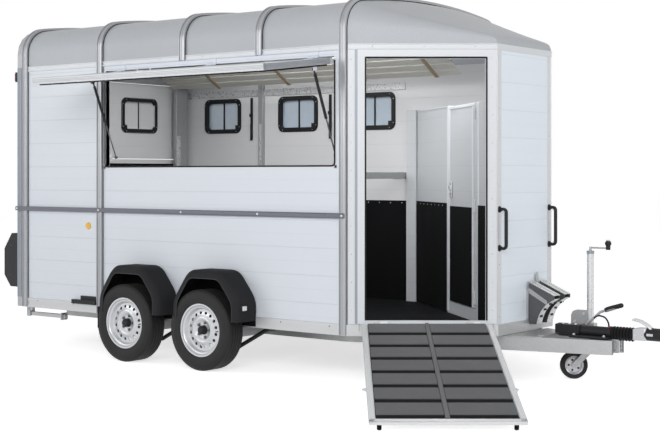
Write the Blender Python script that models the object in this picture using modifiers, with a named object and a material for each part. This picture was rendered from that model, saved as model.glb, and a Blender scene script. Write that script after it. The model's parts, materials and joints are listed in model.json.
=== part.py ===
"""Horse trailer with a front side ramp, a long side hatch and twin axles.

Metres, +Z up, +X towards the coupling. Sizes are worked out in the trailer's own
frame: X = 0 where the side walls meet the slanted nose, Y = 0 on the centreline,
Z = 0 on the ground. The root empty then moves everything so that the origin is
under the middle of the whole trailer, with its side ramp down.
"""

import math

import bmesh
import bpy
from mathutils import Matrix, Vector

GAP = 0.0003  # between pieces that rest on each other
DOOR_GAP = 0.006  # round a flap, door or ramp in its opening
RIGHT = -1
LEFT = 1
SIDES = (("right", RIGHT), ("left", LEFT))
SIDES_OF_RAMP = (-1, 1)

# Hinges
KNUCKLE_RADIUS = 0.009
KNUCKLE_SIDES = 6
KNUCKLE = 0.045
LEAF = 0.045
LEAF_THICKNESS = 0.004
HINGE_OUT = 0.010  # axis in front of the panel's face
HINGE_SEAT = 0.001  # a leaf's root in the piece that carries it
HINGE_IN = 0.001  # axis inside the opening's edge
PANEL_START = DOOR_GAP - HINGE_IN

# Body
BODY_WIDTH = 2.084
BODY_LENGTH = 3.58  # straight sides, from the rear face to the nose corner
NOSE_LENGTH = 0.84
FRONT_WIDTH = 0.79
WALL = 0.040
SILL_BOTTOM = 0.336
SILL_TOP = 0.416
SILL_PROUD = 0.012
FLOOR_TOP = 0.386
FLOOR_THICKNESS = 0.020
JOIST_WIDTH = 0.040
JOIST_PITCH = 0.56
KICKBOARD = 0.012

# Roof
CROWN_HEIGHT = 2.78
SHOULDER_RADIUS = 0.21
ROOF_RISE = 0.265
EAVE_HEIGHT = CROWN_HEIGHT - ROOF_RISE  # where the roof's rounded shoulder starts
CANT_RAIL = 0.115  # upright band between the walls and the shoulder
WALL_TOP = EAVE_HEIGHT - CANT_RAIL
ROOF_THICKNESS = 0.015
HOOP_WIDTH = 0.058
HOOP_HEIGHT = 0.018
HOOP_LIP = 0.008
HOOP_LIP_HEIGHT = 0.008
NOSE_ROOF_THICKNESS = 0.010

# Rear frame
REAR_FRAME_DEPTH = 0.080
REAR_POST = 0.100
REAR_LINTEL = 0.060  # below the walls' top
REAR_LINTEL_BOTTOM = WALL_TOP - REAR_LINTEL
REAR_DOOR_HEIGHT = 0.720
REAR_RAMP_BOTTOM = 0.43
REAR_RAMP_TOP = REAR_LINTEL_BOTTOM - REAR_DOOR_HEIGHT
REAR_RAMP_HINGE_SPREAD = 0.750
REAR_DOOR_HINGE_INSET = 0.120  # from a door's top and bottom
DOOR_THICKNESS = 0.036

# Side doorway in the nose, measured along the slanted face from its rear corner
NOSE_ANGLE = math.atan2((BODY_WIDTH - FRONT_WIDTH) / 2, NOSE_LENGTH)
NOSE_FACE = math.hypot((BODY_WIDTH - FRONT_WIDTH) / 2, NOSE_LENGTH)
DOORWAY_START = 0.135
DOORWAY_FRONT_JAMB = 0.080
DOORWAY_HEAD = 0.102
DOORWAY_END = NOSE_FACE - DOORWAY_FRONT_JAMB
DOORWAY_BOTTOM = 0.442
DOORWAY_TOP = WALL_TOP - DOORWAY_HEAD
SIDE_DOOR_HINGE_INSET = 0.208  # of the left nose door, from its opening's top and bottom

# Side ramp
RAMP_OVERLAP = 0.0335  # past each side of the doorway
RAMP_WIDTH = DOORWAY_END - DOORWAY_START + 2 * RAMP_OVERLAP
RAMP_LENGTH = 1.81
RAMP_THICKNESS = 0.045
RAMP_FACE = 0.004  # top face below the hinge's axis
RAMP_HINGE_HEIGHT = 0.43
RAMP_HINGE_OUT = 0.030
RAMP_DROP = 11.9  # degrees below horizontal
RAMP_EDGE = 0.040
RAMP_ROOT = 0.022  # ramp's edge ahead of its hinge's axis
RAMP_KNUCKLE_RADIUS = 0.015
RAMP_HINGE_SHARE = 0.36  # of the ramp's width, from its middle
RAMP_FOOT_INSET = 0.060
RAMP_FOOT_RADIUS = 0.015
RAMP_HOOK_PLACE = 1.238
CLEAT_COUNT = 7
CLEAT_WIDTH = 0.030
CLEAT_HEIGHT = 0.016
MAT_START = LEAF + 0.005

# Hatch
HATCH_REAR = -2.469
HATCH_FRONT = -0.114
HATCH_HEAD = 0.078
HATCH_HEIGHT = 0.777
HATCH_TOP = WALL_TOP - HATCH_HEAD
HATCH_BOTTOM = HATCH_TOP - HATCH_HEIGHT
KICKBOARD_TOP = HATCH_BOTTOM - 0.295
FLAP_HINGE_OUT = 0.012  # axis in front of the flap's face
FLAP_HINGE_SHARE = 0.42  # of the flap's length, from its middle
FLAP_DROOP = 7.0  # degrees below horizontal when open
STRUT_TOP = 0.18  # from the flap's hinge to the strut's upper eye
STRUT_FOOT_HEIGHT = HATCH_BOTTOM + 0.072
STRUT_INSET = 0.030  # inside the flap's inner face
STRUT_FROM_END = 0.045
STRUT_RADIUS = 0.011
STRUT_ROD_RADIUS = 0.005
STRUT_EYE = 0.008  # half an eye's width
STRUT_NECK = 0.034  # from the upper eye's middle to the cylinder's end, past its bracket
STRUT_NECK_RADIUS = 0.006
STRUT_BRACKET = 0.020  # half a bracket's width
STRUT_CYLINDER = 0.37
STRUT_OVERLAP = 0.12  # rod inside the cylinder when the flap is open

# Side windows: centre along the left wall
WINDOWS = (-3.03, -2.10, -1.24)
WINDOW_WIDTH = 0.47
WINDOW_HEIGHT = 0.33
WINDOW_MIDDLE = WALL_TOP - 0.365
WINDOW_BORDER = 0.040
WINDOW_PROUD = 0.012
WINDOW_RADIUS = 0.06
PANE = 0.006
PANE_SEAT = 0.004  # pane's edge inside its frame
REAR_WINDOW_OUT = 0.388  # from the centreline

# Tack room
TACK_WALL_REAR = -0.80  # where the slanted inner wall leaves the left side
TACK_WALL_TOP = WALL_TOP - 0.390
TACK_WALL_THICKNESS = 0.030
TACK_WALL_EASE = 0.010  # the wall's square end keeps this off the side wall
TACK_POST = 0.070  # deep, out of the side wall
TACK_POST_REAR = 0.045
TACK_POST_LAP = 0.020  # the post past the wall's end
TACK_DOOR_START = 1.018
TACK_DOOR_END = 1.696
TACK_DOOR_BOTTOM = 0.48
INNER_DOOR_HINGE_INSET = 0.080
INNER_POST = 0.030  # posts standing out of the left wall's inner face
BREAST_BAR_HEIGHT = HATCH_BOTTOM - 0.078
BREAST_BAR = 0.055
BREAST_BAR_X = -0.88

# Running gear
AXLES = (("front", -1.242), ("rear", -2.058))
TYRE_RADIUS = 0.305
TYRE_WIDTH = 0.190
RIM_RADIUS = 0.195
RIM_WIDTH = 0.150
RIM_HOLES = 16
RIM_HOLE_CIRCLE = 0.130
RIM_HOLE_RADIUS = 0.0125
RIM_STEPS = 16
RIM_SKIN = 0.006
DISC_DISH = 0.029  # disc's face outside the wheel's middle plane
HUB_CAP_RADIUS = 0.033
HUB_CAP_END = 0.075
DRUM_RADIUS = 0.110
DRUM_BACK = -0.065
TYRE_STEPS = 28
WHEEL_OUT = 0.117  # wheel's middle plane outside the wall
AXLE_TUBE = 0.070
AXLE_AHEAD = 0.130
AXLE_HEIGHT = 0.276
HUB_RADIUS = 0.030

# Mudguards: outline of one arch from its wheel's centre, forward half
ARCH = ((0.215, 0.760), (0.400, 0.540), (0.435, 0.400))
ARCH_VALLEY = 0.500
MUDGUARD_OUT = 0.220
MUDGUARD_SKIN = 0.005
MUDGUARD_LIP = 0.032
MUDGUARD_LIP_THICKNESS = 0.008
MUDFLAP_BOTTOM = 0.250
MUDFLAP_THICKNESS = 0.008

# Chassis and drawbar
RAIL_HEIGHT = 0.100
RAIL_WIDTH = 0.050
RAIL_WALL = 0.005
RAIL_TOP = 0.326
RAIL_SPREAD = 0.575  # centre of a rail from the centreline
RAIL_BEND = -0.35
RAIL_TIP = 1.57
RAIL_TIP_SPREAD = 0.070
RAIL_REAR = -3.45

# Coupling, on the centreline
HOUSING_START = 1.11
HOUSING_END = 1.54
GAITER_END = 1.70
NOSE_TIP = 1.96
COUPLING_HEIGHT = 0.37
HOUSING_RADIUS = 0.040
HOUSING_FOOT = 0.035
LEVER_POINTS = ((1.215, 0.328), (1.415, 0.505), (1.575, 0.56))
LEVER_HUB = 0.018
LEVER_Y = 0.055
GAITER_RIBS = 5
GAITER_RADII = (0.030, 0.046)  # in the valleys and on the ribs

# Jockey wheel
JOCKEY_X = 1.257
JOCKEY_Y = 0.215
JOCKEY_TUBE_TOP = 0.923
JOCKEY_TUBE_BOTTOM = 0.36
JOCKEY_TUBE_RADIUS = 0.024
JOCKEY_TUBE_WALL = 0.003
JOCKEY_TUBE_PLAY = 0.001
JOCKEY_CLAMP = 0.100
JOCKEY_TRAIL = 0.120
JOCKEY_TURNED = 37.0  # where the castor stands
JOCKEY_CROWN = 0.206  # underside of the fork's crown plate
JOCKEY_CROWN_THICKNESS = 0.012
JOCKEY_WHEEL_RADIUS = 0.100
JOCKEY_WHEEL_WIDTH = 0.060

# Wheel chocks, stowed on the front wall: one chock's outline in (x, z)
CHOCK_WIDTH = 0.090
CHOCK_PLACES = (0.030, 0.190)  # right edge of each, to the trailer's left
CHOCK_BACK = 0.016  # carrier plate's front face ahead of the wall
CHOCK_TOP = 0.690
CHOCK_BOTTOM = 0.385
CHOCK_NOSE = (0.222, 0.600)
CHOCK_HEEL = 0.060
CHOCK_CARRIER = (0.140, 0.175)
CHOCK_CARRIER_TOP = 0.760

# Grab handles on the front corners
HANDLE_BOTTOM = 0.955
HANDLE_TOP = 1.230
HANDLE_OUT = 0.055
HANDLE_RADIUS = 0.011
HANDLE_INSET = 0.030  # in from the front wall's corner

# Rear lamps and stands
LAMP_BOTTOM = 0.50
LAMP_TOP = 0.966
LAMP_DEPTH = 0.182
LAMP_WIDTH = 0.085
LAMP_CHAMFER = 0.030
LAMP_BEVEL = 0.045
STAND_LENGTH = 0.46
STAND_TUBE = 0.032
STAND_HINGE_X = -3.535
STAND_INSET = 0.110  # in from the wall's outer face
STAND_HUB = 0.022
STAND_HUB_WIDTH = 0.040
STAND_EAR = 0.006
STAND_HINGE_HEIGHT = 0.266
STAND_DROPS = 25.0

HALF = BODY_WIDTH / 2
REAR = -BODY_LENGTH
FRAME_FRONT = REAR + REAR_FRAME_DEPTH
LAP = HOOP_WIDTH  # the corner posts wrap this far round each corner
HOOPS = (
    # number, front edge, continues down as posts
    (2, -2.500, True),
    (3, -1.567, False),
    (4, -0.783, False),
    (5, 0.0, True),
)
FIRST_HOOP = -3.435
NOSE_CHAIN = (
    # corners of the nose in plan, right to left
    (-LAP, -HALF),
    (0.0, -HALF),
    (NOSE_LENGTH, -FRONT_WIDTH / 2),
    (NOSE_LENGTH, FRONT_WIDTH / 2),
    (0.0, HALF),
    (-LAP, HALF),
)

COLOURS = {
    # red, green, blue, roughness, metallic
    "white": (0.80, 0.82, 0.86, 0.45, 0.0),
    "aluminium": (0.60, 0.62, 0.64, 0.35, 0.9),
    "galvanised": (0.50, 0.52, 0.54, 0.45, 0.9),
    "roof_grey": (0.48, 0.49, 0.50, 0.50, 0.3),
    "black_rubber": (0.02, 0.02, 0.02, 0.80, 0.0),
    "black_plastic": (0.03, 0.03, 0.03, 0.50, 0.0),
    "tyre": (0.02, 0.02, 0.02, 0.90, 0.0),
    "silver": (0.65, 0.65, 0.66, 0.35, 0.8),
}


for old in list(bpy.data.objects):
    bpy.data.objects.remove(old)
PARTS = bpy.data.collections.new("horse_trailer")
HELPERS = bpy.data.collections.new("horse_trailer_helpers")
bpy.context.scene.collection.children.link(PARTS)
bpy.context.scene.collection.children.link(HELPERS)


def empty(name, matrix, parent=None):
    frame = bpy.data.objects.new(name, None)
    frame.empty_display_size = 0.1
    PARTS.objects.link(frame)
    frame.parent = parent
    frame.matrix_basis = matrix
    return frame


def finish_of(name):
    colour = COLOURS[name]
    material = bpy.data.materials.get(name) or bpy.data.materials.new(name)
    material.use_nodes = True
    shader = material.node_tree.nodes["Principled BSDF"]
    shader.inputs["Base Color"].default_value = (*colour[:3], 1.0)
    shader.inputs["Roughness"].default_value = colour[3]
    shader.inputs["Metallic"].default_value = colour[4]
    return material


def mesh_from(work, smooth=False):
    bmesh.ops.recalc_face_normals(work, faces=work.faces)
    mesh = bpy.data.meshes.new("shape")
    work.to_mesh(mesh)
    work.free()
    if smooth:
        mesh.shade_smooth()
        mesh.set_sharp_from_angle(angle=math.radians(35))
    return mesh


def block(low, high):
    low, high = Vector(map(min, low, high)), Vector(map(max, low, high))
    work = bmesh.new()
    place = Matrix.Translation((low + high) / 2) @ Matrix.Diagonal((*(high - low), 1))
    bmesh.ops.create_cube(work, size=1.0, matrix=place)
    return mesh_from(work)


def rod(start, end, radius, sides=10, end_radius=None):
    start, end = Vector(start), Vector(end)
    along = end - start
    turn = along.to_track_quat("Z", "Y").to_matrix().to_4x4()
    work = bmesh.new()
    bmesh.ops.create_cone(
        work,
        cap_ends=True,
        segments=sides,
        radius1=radius,
        radius2=radius if end_radius is None else end_radius,
        depth=along.length,
        matrix=Matrix.Translation((start + end) / 2) @ turn,
    )
    return mesh_from(work, smooth=True)


def from_curve(curve, smooth=False):
    """The curve's closed mesh, with its caps welded on."""
    holder = bpy.data.objects.new("curve", curve)
    mesh = bpy.data.meshes.new_from_object(holder)
    bpy.data.objects.remove(holder)
    work = bmesh.new()
    work.from_mesh(mesh)
    bmesh.ops.remove_doubles(work, verts=work.verts, dist=1e-5)
    return mesh_from(work, smooth)


def plate(outlines, low, high, place=None):
    """A flat outline, with any holes after it, from low to high along its normal."""
    curve = bpy.data.curves.new("outline", "CURVE")
    curve.dimensions = "2D"
    curve.fill_mode = "BOTH"
    curve.extrude = abs(high - low) / 2
    for outline in outlines:
        line = curve.splines.new("POLY")
        line.points.add(len(outline) - 1)
        for point, (across, up) in zip(line.points, outline):
            point.co = (across, up, 0.0, 1.0)
        line.use_cyclic_u = True
    mesh = from_curve(curve)
    mesh.transform((place or Matrix()) @ Matrix.Translation((0, 0, (low + high) / 2)))
    return mesh


def pipe(points, radius, resolution=2):
    curve = bpy.data.curves.new("pipe", "CURVE")
    curve.dimensions = "3D"
    curve.bevel_depth = radius
    curve.bevel_resolution = resolution
    curve.use_fill_caps = True
    line = curve.splines.new("POLY")
    line.points.add(len(points) - 1)
    for point, place in zip(line.points, points):
        point.co = (*place, 1.0)
    return from_curve(curve, smooth=True)


def turned(profile, steps, place=None):
    """A closed profile of (radius, along) pairs turned about its own Z."""
    work = bmesh.new()
    corners = [work.verts.new((radius, 0.0, along)) for radius, along in profile]
    edges = [work.edges.new((a, b)) for a, b in zip(corners, corners[1:] + corners[:1])]
    bmesh.ops.spin(
        work,
        geom=corners + edges,
        cent=(0, 0, 0),
        axis=(0, 0, 1),
        angle=math.tau,
        steps=steps,
        use_merge=True,
    )
    bmesh.ops.remove_doubles(work, verts=work.verts, dist=1e-5)
    mesh = mesh_from(work, smooth=True)
    mesh.transform(place or Matrix())
    return mesh


def loft(rows, capped):
    """A skin through closed sections of as many points each, with flat ends."""
    work = bmesh.new()
    rings = [[work.verts.new(point) for point in row] for row in rows]
    for first, second in zip(rings, rings[1:]):
        for i, corner in enumerate(first):
            j = (i + 1) % len(first)
            work.faces.new((corner, first[j], second[j], second[i]))
    if capped:
        work.faces.new(rings[0])
        work.faces.new(rings[-1])
    bmesh.ops.remove_doubles(work, verts=work.verts, dist=1e-5)
    return mesh_from(work, smooth=True)


def moved(mesh, place):
    mesh.transform(place)
    return mesh


def helper(mesh, near, group):
    piece = bpy.data.objects.new(group.name + "_piece", mesh)
    group.objects.link(piece)
    piece.hide_render = True
    piece.display_type = "WIRE"
    piece.parent = near.parent
    piece.matrix_basis = near.matrix_basis
    return piece


def combine(obj, meshes, operation):
    group = bpy.data.collections.new(obj.name + "_" + operation.lower())
    HELPERS.children.link(group)
    for mesh in meshes:
        helper(mesh, obj, group)
    boolean = obj.modifiers.new(operation.title(), "BOOLEAN")
    boolean.operation = operation
    boolean.operand_type = "COLLECTION"
    boolean.collection = group


def node(name, pieces, finish, parent, place=None, cuts=()):
    """One named piece: its first mesh joined by the others, less the cuts."""
    obj = bpy.data.objects.new(name, pieces[0])
    PARTS.objects.link(obj)
    obj.parent = parent
    obj.matrix_basis = place or Matrix()
    obj.data.materials.append(finish_of(finish))
    if len(pieces) > 1:
        combine(obj, pieces[1:], "UNION")
    if cuts:
        combine(obj, cuts, "DIFFERENCE")
    return obj


def basis(origin, x_axis, y_axis):
    """The frame at origin with these two axes, at right angles to each other."""
    x_axis, y_axis = Vector(x_axis).normalized(), Vector(y_axis).normalized()
    turn = Matrix((x_axis, y_axis, x_axis.cross(y_axis))).transposed()
    return Matrix.Translation(origin) @ turn.to_4x4()


def turned_by(degrees):
    return Matrix.Rotation(math.radians(degrees), 4, "Z")


def offset_chain(chain, distance):
    """An open run of corners moved sideways, to the right of its direction."""
    corners = [Vector(corner) for corner in chain]
    runs = [(after - before).normalized() for before, after in zip(corners, corners[1:])]
    normals = [Vector((run.y, -run.x)) for run in runs]
    shifted = []
    for corner, first, second in zip(corners, normals[:1] + normals, normals + normals[-1:]):
        middle = (first + second).normalized()
        shifted.append(tuple(corner + middle * distance / middle.dot(first)))
    return shifted


def band(chain, inner, outer):
    """The closed outline between two offsets of an open run of corners."""
    return offset_chain(chain, inner) + offset_chain(chain, outer)[::-1]


def rounded_box(width, height, radius, middle=(0.0, 0.0), steps=2):
    points = []
    for quarter, (across, up) in enumerate(((1, 1), (-1, 1), (-1, -1), (1, -1))):
        for step in range(steps + 1):
            angle = math.radians(90 * (quarter + step / steps))
            points.append(
                (
                    middle[0] + across * (width / 2 - radius) + radius * math.cos(angle),
                    middle[1] + up * (height / 2 - radius) + radius * math.sin(angle),
                )
            )
    return points


def arch(half, eave, shoulder, crown, bottom=None, shoulder_steps=4, crown_steps=2):
    """Roof line in (y, z), right side to left: upright, shoulder, crown and back."""
    across, rise = half - shoulder, crown - eave
    crown_radius = (across**2 + rise**2 - shoulder**2) / (2 * (rise - shoulder))
    lean = math.asin(across / (crown_radius - shoulder))
    line = [] if bottom is None else [(-half, bottom)]
    for step in range(shoulder_steps + 1):
        angle = (math.pi / 2 - lean) * step / shoulder_steps
        line.append((-across - shoulder * math.cos(angle), eave + shoulder * math.sin(angle)))
    for step in range(1, crown_steps + 1):
        angle = lean * (1 - step / crown_steps)
        line.append(
            (-crown_radius * math.sin(angle), crown + crown_radius * (math.cos(angle) - 1))
        )
    return line + [(-y, z) for y, z in line[-2::-1]]


def body_arch(bottom):
    return arch(HALF, EAVE_HEIGHT, SHOULDER_RADIUS, CROWN_HEIGHT, bottom)


CROSS = basis((0, 0, 0), (0, 1, 0), (0, 0, 1))  # outlines in (y, z), normal +X
SIDEWAYS = basis((0, 0, 0), (1, 0, 0), (0, 0, 1))  # outlines in (x, z), normal -Y


def side_frame(side):
    """x forward, y to the trailer's left, at the outer face of one side wall."""
    return Matrix.Translation((0, side * HALF, 0))


def nose_frame(side):
    """x along a slanted nose face from its rear corner, y to the trailer's left."""
    return side_frame(side) @ Matrix.Rotation(-side * NOSE_ANGLE, 4, "Z")


def nose_vectors(side):
    """Directions along a nose face, forward, and out of it."""
    turn = Matrix.Rotation(-side * NOSE_ANGLE, 3, "Z")
    return turn @ Vector((1, 0, 0)), turn @ Vector((0, side, 0))


# In a hinge's frame x runs from the axis over the closed panel, y out of its face
# and z along the axis, and a positive turn opens it.


def leaf_and_knuckle(middle, length, direction, out, radius):
    low, high = middle - length / 2, middle + length / 2
    seat = -out - HINGE_SEAT
    return [
        rod((0, 0, low), (0, 0, high), radius, KNUCKLE_SIDES),
        block((0, seat, low), (direction * LEAF, -out + LEAF_THICKNESS, high)),
    ]


def three_places(low, high):
    return (low, (low + high) / 2, high)


def fixed_leaves(places, out=HINGE_OUT, radius=KNUCKLE_RADIUS):
    pieces = []
    for place in places:
        pieces += leaf_and_knuckle(place - (KNUCKLE + GAP) / 2, KNUCKLE, -1, out, radius)
    return pieces


def moving_leaves(places, out=HINGE_OUT, radius=KNUCKLE_RADIUS):
    pieces = []
    for place in places:
        pieces += leaf_and_knuckle(place + (KNUCKLE + GAP) / 2, KNUCKLE, 1, out, radius)
    return pieces


def carried(pieces, place):
    for piece in pieces:
        piece.transform(place)
    return pieces


# Origin of the finished part, under the middle of the box round the trailer
_along, _outward = nose_vectors(RIGHT)
_drop = math.radians(RAMP_DROP)
_ramp_reach = RAMP_LENGTH * math.cos(_drop) - RAMP_FACE * math.sin(_drop) + RAMP_HINGE_OUT
_ramp_corner = (
    Vector((0, RIGHT * HALF, 0))
    + _along * ((DOORWAY_START + DOORWAY_END - RAMP_WIDTH) / 2)
    + _outward * _ramp_reach
)
LAMP_REAR = REAR - LAMP_DEPTH
BOX_MIDDLE = (
    (NOSE_TIP + LAMP_REAR) / 2,
    (HALF + MUDGUARD_OUT + _ramp_corner.y) / 2,
)
ROOT = empty("horse_trailer_frame", Matrix.Translation((-BOX_MIDDLE[0], -BOX_MIDDLE[1], 0)))


def rail_path(side):
    return (
        (RAIL_TIP, side * RAIL_TIP_SPREAD),
        (RAIL_BEND, side * RAIL_SPREAD),
        (RAIL_REAR, side * RAIL_SPREAD),
    )


def rail(name, side):
    """A box beam that bends in from the drawbar, with the axle tubes through it."""
    path = rail_path(side)
    section = band(path, -RAIL_WIDTH / 2, RAIL_WIDTH / 2)
    outer = plate([section], RAIL_TOP - RAIL_HEIGHT, RAIL_TOP)
    hollow_ends = [Vector(path[0]), Vector(path[1]), Vector(path[2])]
    hollow_ends[0] += (hollow_ends[0] - hollow_ends[1]).normalized() * 0.01
    hollow_ends[2] += Vector((-0.01, 0))
    inside = RAIL_WIDTH / 2 - RAIL_WALL
    hollow = plate(
        [band([tuple(end) for end in hollow_ends], -inside, inside)],
        RAIL_TOP - RAIL_HEIGHT + RAIL_WALL,
        RAIL_TOP - RAIL_WALL,
    )
    cuts = [hollow]
    reach = AXLE_TUBE / 2 + GAP
    for _, wheel_x in AXLES:
        x = wheel_x + AXLE_AHEAD
        cuts.append(
            block(
                (x - reach, side * RAIL_SPREAD - RAIL_WIDTH, AXLE_HEIGHT - reach),
                (x + reach, side * RAIL_SPREAD + RAIL_WIDTH, AXLE_HEIGHT + reach),
            )
        )
    return node(name, [outer], "galvanised", ROOT, cuts=cuts)


def chassis():
    for word, side in SIDES:
        rail("chassis_rail_" + word, side)


def axle(name, wheel_x):
    """A rubber-sprung axle: square tube, trailing arms and stub shafts."""
    x = wheel_x + AXLE_AHEAD
    half = AXLE_TUBE / 2
    arm_out = HALF - 0.035
    low, high = AXLE_HEIGHT - half, AXLE_HEIGHT + half
    pieces = [block((x - half, -arm_out, low), (x + half, arm_out, high))]
    for _, side in SIDES:
        arm = plate(
            [
                [
                    (x + half / 2, low - 0.004),
                    (x + half / 2, high + 0.004),
                    (wheel_x - 0.02, TYRE_RADIUS + 0.025),
                    (wheel_x - 0.035, TYRE_RADIUS),
                    (wheel_x - 0.02, TYRE_RADIUS - 0.030),
                ]
            ],
            -side * arm_out - 0.02,
            -side * arm_out + 0.02,
            SIDEWAYS,
        )
        stub_end = HALF + WHEEL_OUT + DRUM_BACK - GAP
        shaft = rod(
            (wheel_x, side * (arm_out - 0.015), TYRE_RADIUS),
            (wheel_x, side * stub_end, TYRE_RADIUS),
            HUB_RADIUS,
        )
        pieces += [arm, shaft]
    return node(name, pieces, "galvanised", ROOT)


def axles():
    for word, wheel_x in AXLES:
        axle("axle_" + word, wheel_x)


def rim_profile():
    """Half section of a pressed steel wheel and its brake drum, outer face first."""
    half = RIM_WIDTH / 2
    barrel = RIM_RADIUS - RIM_SKIN
    well = RIM_RADIUS - 0.036
    return [
        (0.0, HUB_CAP_END),
        (HUB_CAP_RADIUS, HUB_CAP_END - 0.008),
        (HUB_CAP_RADIUS, DISC_DISH),
        (0.058, DISC_DISH),
        (0.088, DISC_DISH + 0.024),
        (well, DISC_DISH),
        (RIM_RADIUS - 0.020, half - 0.014),
        (RIM_RADIUS, half),
        (RIM_RADIUS, -half),
        (barrel, -half),
        (RIM_RADIUS - 0.020, -0.030),
        (well - RIM_SKIN, DISC_DISH - 0.012),
        (DRUM_RADIUS, DISC_DISH + 0.004),
        (DRUM_RADIUS, DRUM_BACK),
        (0.0, DRUM_BACK),
    ]


def solid_of_turn(profile, steps):
    """A turned solid whose profile meets the axis."""
    work = bmesh.new()
    corners = [work.verts.new((radius, 0.0, along)) for radius, along in profile]
    edges = [
        work.edges.new((a, b))
        for a, b in zip(corners, corners[1:] + corners[:1])
        if a.co.x > 0 or b.co.x > 0
    ]
    bmesh.ops.spin(
        work, geom=corners + edges, cent=(0, 0, 0), axis=(0, 0, 1), angle=math.tau, steps=steps
    )
    bmesh.ops.remove_doubles(work, verts=work.verts, dist=1e-5)
    return mesh_from(work, smooth=True)


def rim_holes():
    cuts = []
    for i in range(RIM_HOLES):
        angle = math.tau * (i + 0.5) / RIM_HOLES
        x, y = RIM_HOLE_CIRCLE * math.cos(angle), RIM_HOLE_CIRCLE * math.sin(angle)
        cuts.append(rod((x, y, 0.0), (x, y, HUB_CAP_END), RIM_HOLE_RADIUS, 6))
    return cuts


def tyre_profile():
    half = TYRE_WIDTH / 2
    bead = RIM_RADIUS / math.cos(math.pi / TYRE_STEPS) + GAP
    return [
        (bead, 0.060),
        (RIM_RADIUS + 0.012, half - 0.012),
        (RIM_RADIUS + 0.055, half),
        (TYRE_RADIUS - 0.022, half - 0.008),
        (TYRE_RADIUS, half - 0.032),
        (TYRE_RADIUS, -half + 0.032),
        (TYRE_RADIUS - 0.022, -half + 0.008),
        (RIM_RADIUS + 0.055, -half),
        (RIM_RADIUS + 0.012, -half + 0.012),
        (bead, -0.060),
    ]


def wheels():
    for axle_word, wheel_x in AXLES:
        for word, side in SIDES:
            middle = (wheel_x, side * (HALF + WHEEL_OUT), TYRE_RADIUS)
            place = basis(middle, (1, 0, 0), (0, 0, 1) if side == RIGHT else (0, 0, -1))
            name = f"wheel_{axle_word}_{word}"
            hub = empty(name + "_hub", place, ROOT)
            rim = solid_of_turn(rim_profile(), RIM_STEPS)
            node(name + "_rim", [rim], "silver", hub, cuts=rim_holes())
            node(name + "_tyre", [turned(tyre_profile(), TYRE_STEPS)], "tyre", hub)


def mudguard_line():
    """Outer line of both arches in (x, z), front to rear."""
    front, rear = AXLES[0][1], AXLES[1][1]
    valley = ((front + rear) / 2, ARCH_VALLEY)
    first = [(front + x, z) for x, z in ARCH[::-1]] + [(front - ARCH[0][0], ARCH[0][1])]
    last = [(rear + ARCH[0][0], ARCH[0][1])] + [(rear - x, z) for x, z in ARCH]
    return first + [valley] + last


def mudguards():
    """One moulding over both wheels of a side: a skin with a lip down its outer edge."""
    line = mudguard_line()
    inner, outer = HALF + SILL_PROUD + GAP, HALF + MUDGUARD_OUT
    section = (
        # below the outer line, out from the centreline
        (0.0, inner),
        (0.0, outer),
        (MUDGUARD_LIP, outer),
        (MUDGUARD_LIP, outer - MUDGUARD_LIP_THICKNESS),
        (MUDGUARD_SKIN, outer - MUDGUARD_LIP_THICKNESS),
        (MUDGUARD_SKIN, inner),
    )
    lamp_x = AXLES[0][1] + ARCH[1][0] + 0.006
    rear_x, rear_z = line[-1]
    for word, side in SIDES:
        rails = [
            [(x, side * out, z) for x, z in offset_chain(line, -depth)] for depth, out in section
        ]
        lamp = block(
            (lamp_x, side * (HALF + 0.13), 0.455),
            (lamp_x + 0.035, side * (HALF + 0.20), 0.505),
        )
        flap = block(
            (rear_x + MUDFLAP_THICKNESS, side * (inner + 0.004), MUDFLAP_BOTTOM),
            (rear_x, side * (outer - MUDGUARD_LIP_THICKNESS - 0.004), rear_z + 0.020),
        )
        skin = loft(list(zip(*rails)), capped=True)
        node("mudguard_" + word, [skin, lamp, flap], "black_plastic", ROOT)


def floor_outline(inset):
    """The floor in plan, this far inside the walls' outer faces."""
    nose = offset_chain(NOSE_CHAIN, -inset)
    rear_x = FRAME_FRONT + GAP
    return [(rear_x, nose[0][1]), *nose[1:-1], (rear_x, nose[-1][1])]


def tack_ends():
    start = Vector((TACK_WALL_REAR, HALF - WALL - GAP))
    nose = offset_chain(NOSE_CHAIN, -WALL - GAP)
    corner = Vector(nose[2])
    return start, corner


def tack_frame():
    """x along the slanted inner wall from the left side, y out of its stall face."""
    start, corner = tack_ends()
    along = corner - start
    return basis((start.x, start.y, 0), (along.x, along.y, 0), (0, 0, 1)), along.length


def floor_tray():
    """Floor boards on cross joists, with the black kickboards standing on them."""
    inset = WALL + GAP
    pieces = [plate([floor_outline(inset)], FLOOR_TOP - FLOOR_THICKNESS, FLOOR_TOP)]
    x = FRAME_FRONT + 0.10
    while x < -0.05:
        pieces.append(
            block(
                (x, -HALF + inset + 0.02, RAIL_TOP + GAP),
                (x + JOIST_WIDTH, HALF - inset - 0.02, FLOOR_TOP - FLOOR_THICKNESS + 0.002),
            )
        )
        x += JOIST_PITCH
    under = FLOOR_TOP - 0.004
    ends = {RIGHT: -LAP, LEFT: TACK_WALL_REAR - 0.05}
    for _, side in SIDES:
        pieces.append(
            block(
                (FRAME_FRONT + GAP, side * (HALF - inset), under),
                (ends[side], side * (HALF - inset - KICKBOARD), KICKBOARD_TOP),
            )
        )
    return node("floor_tray", pieces, "black_rubber", ROOT)


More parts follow.
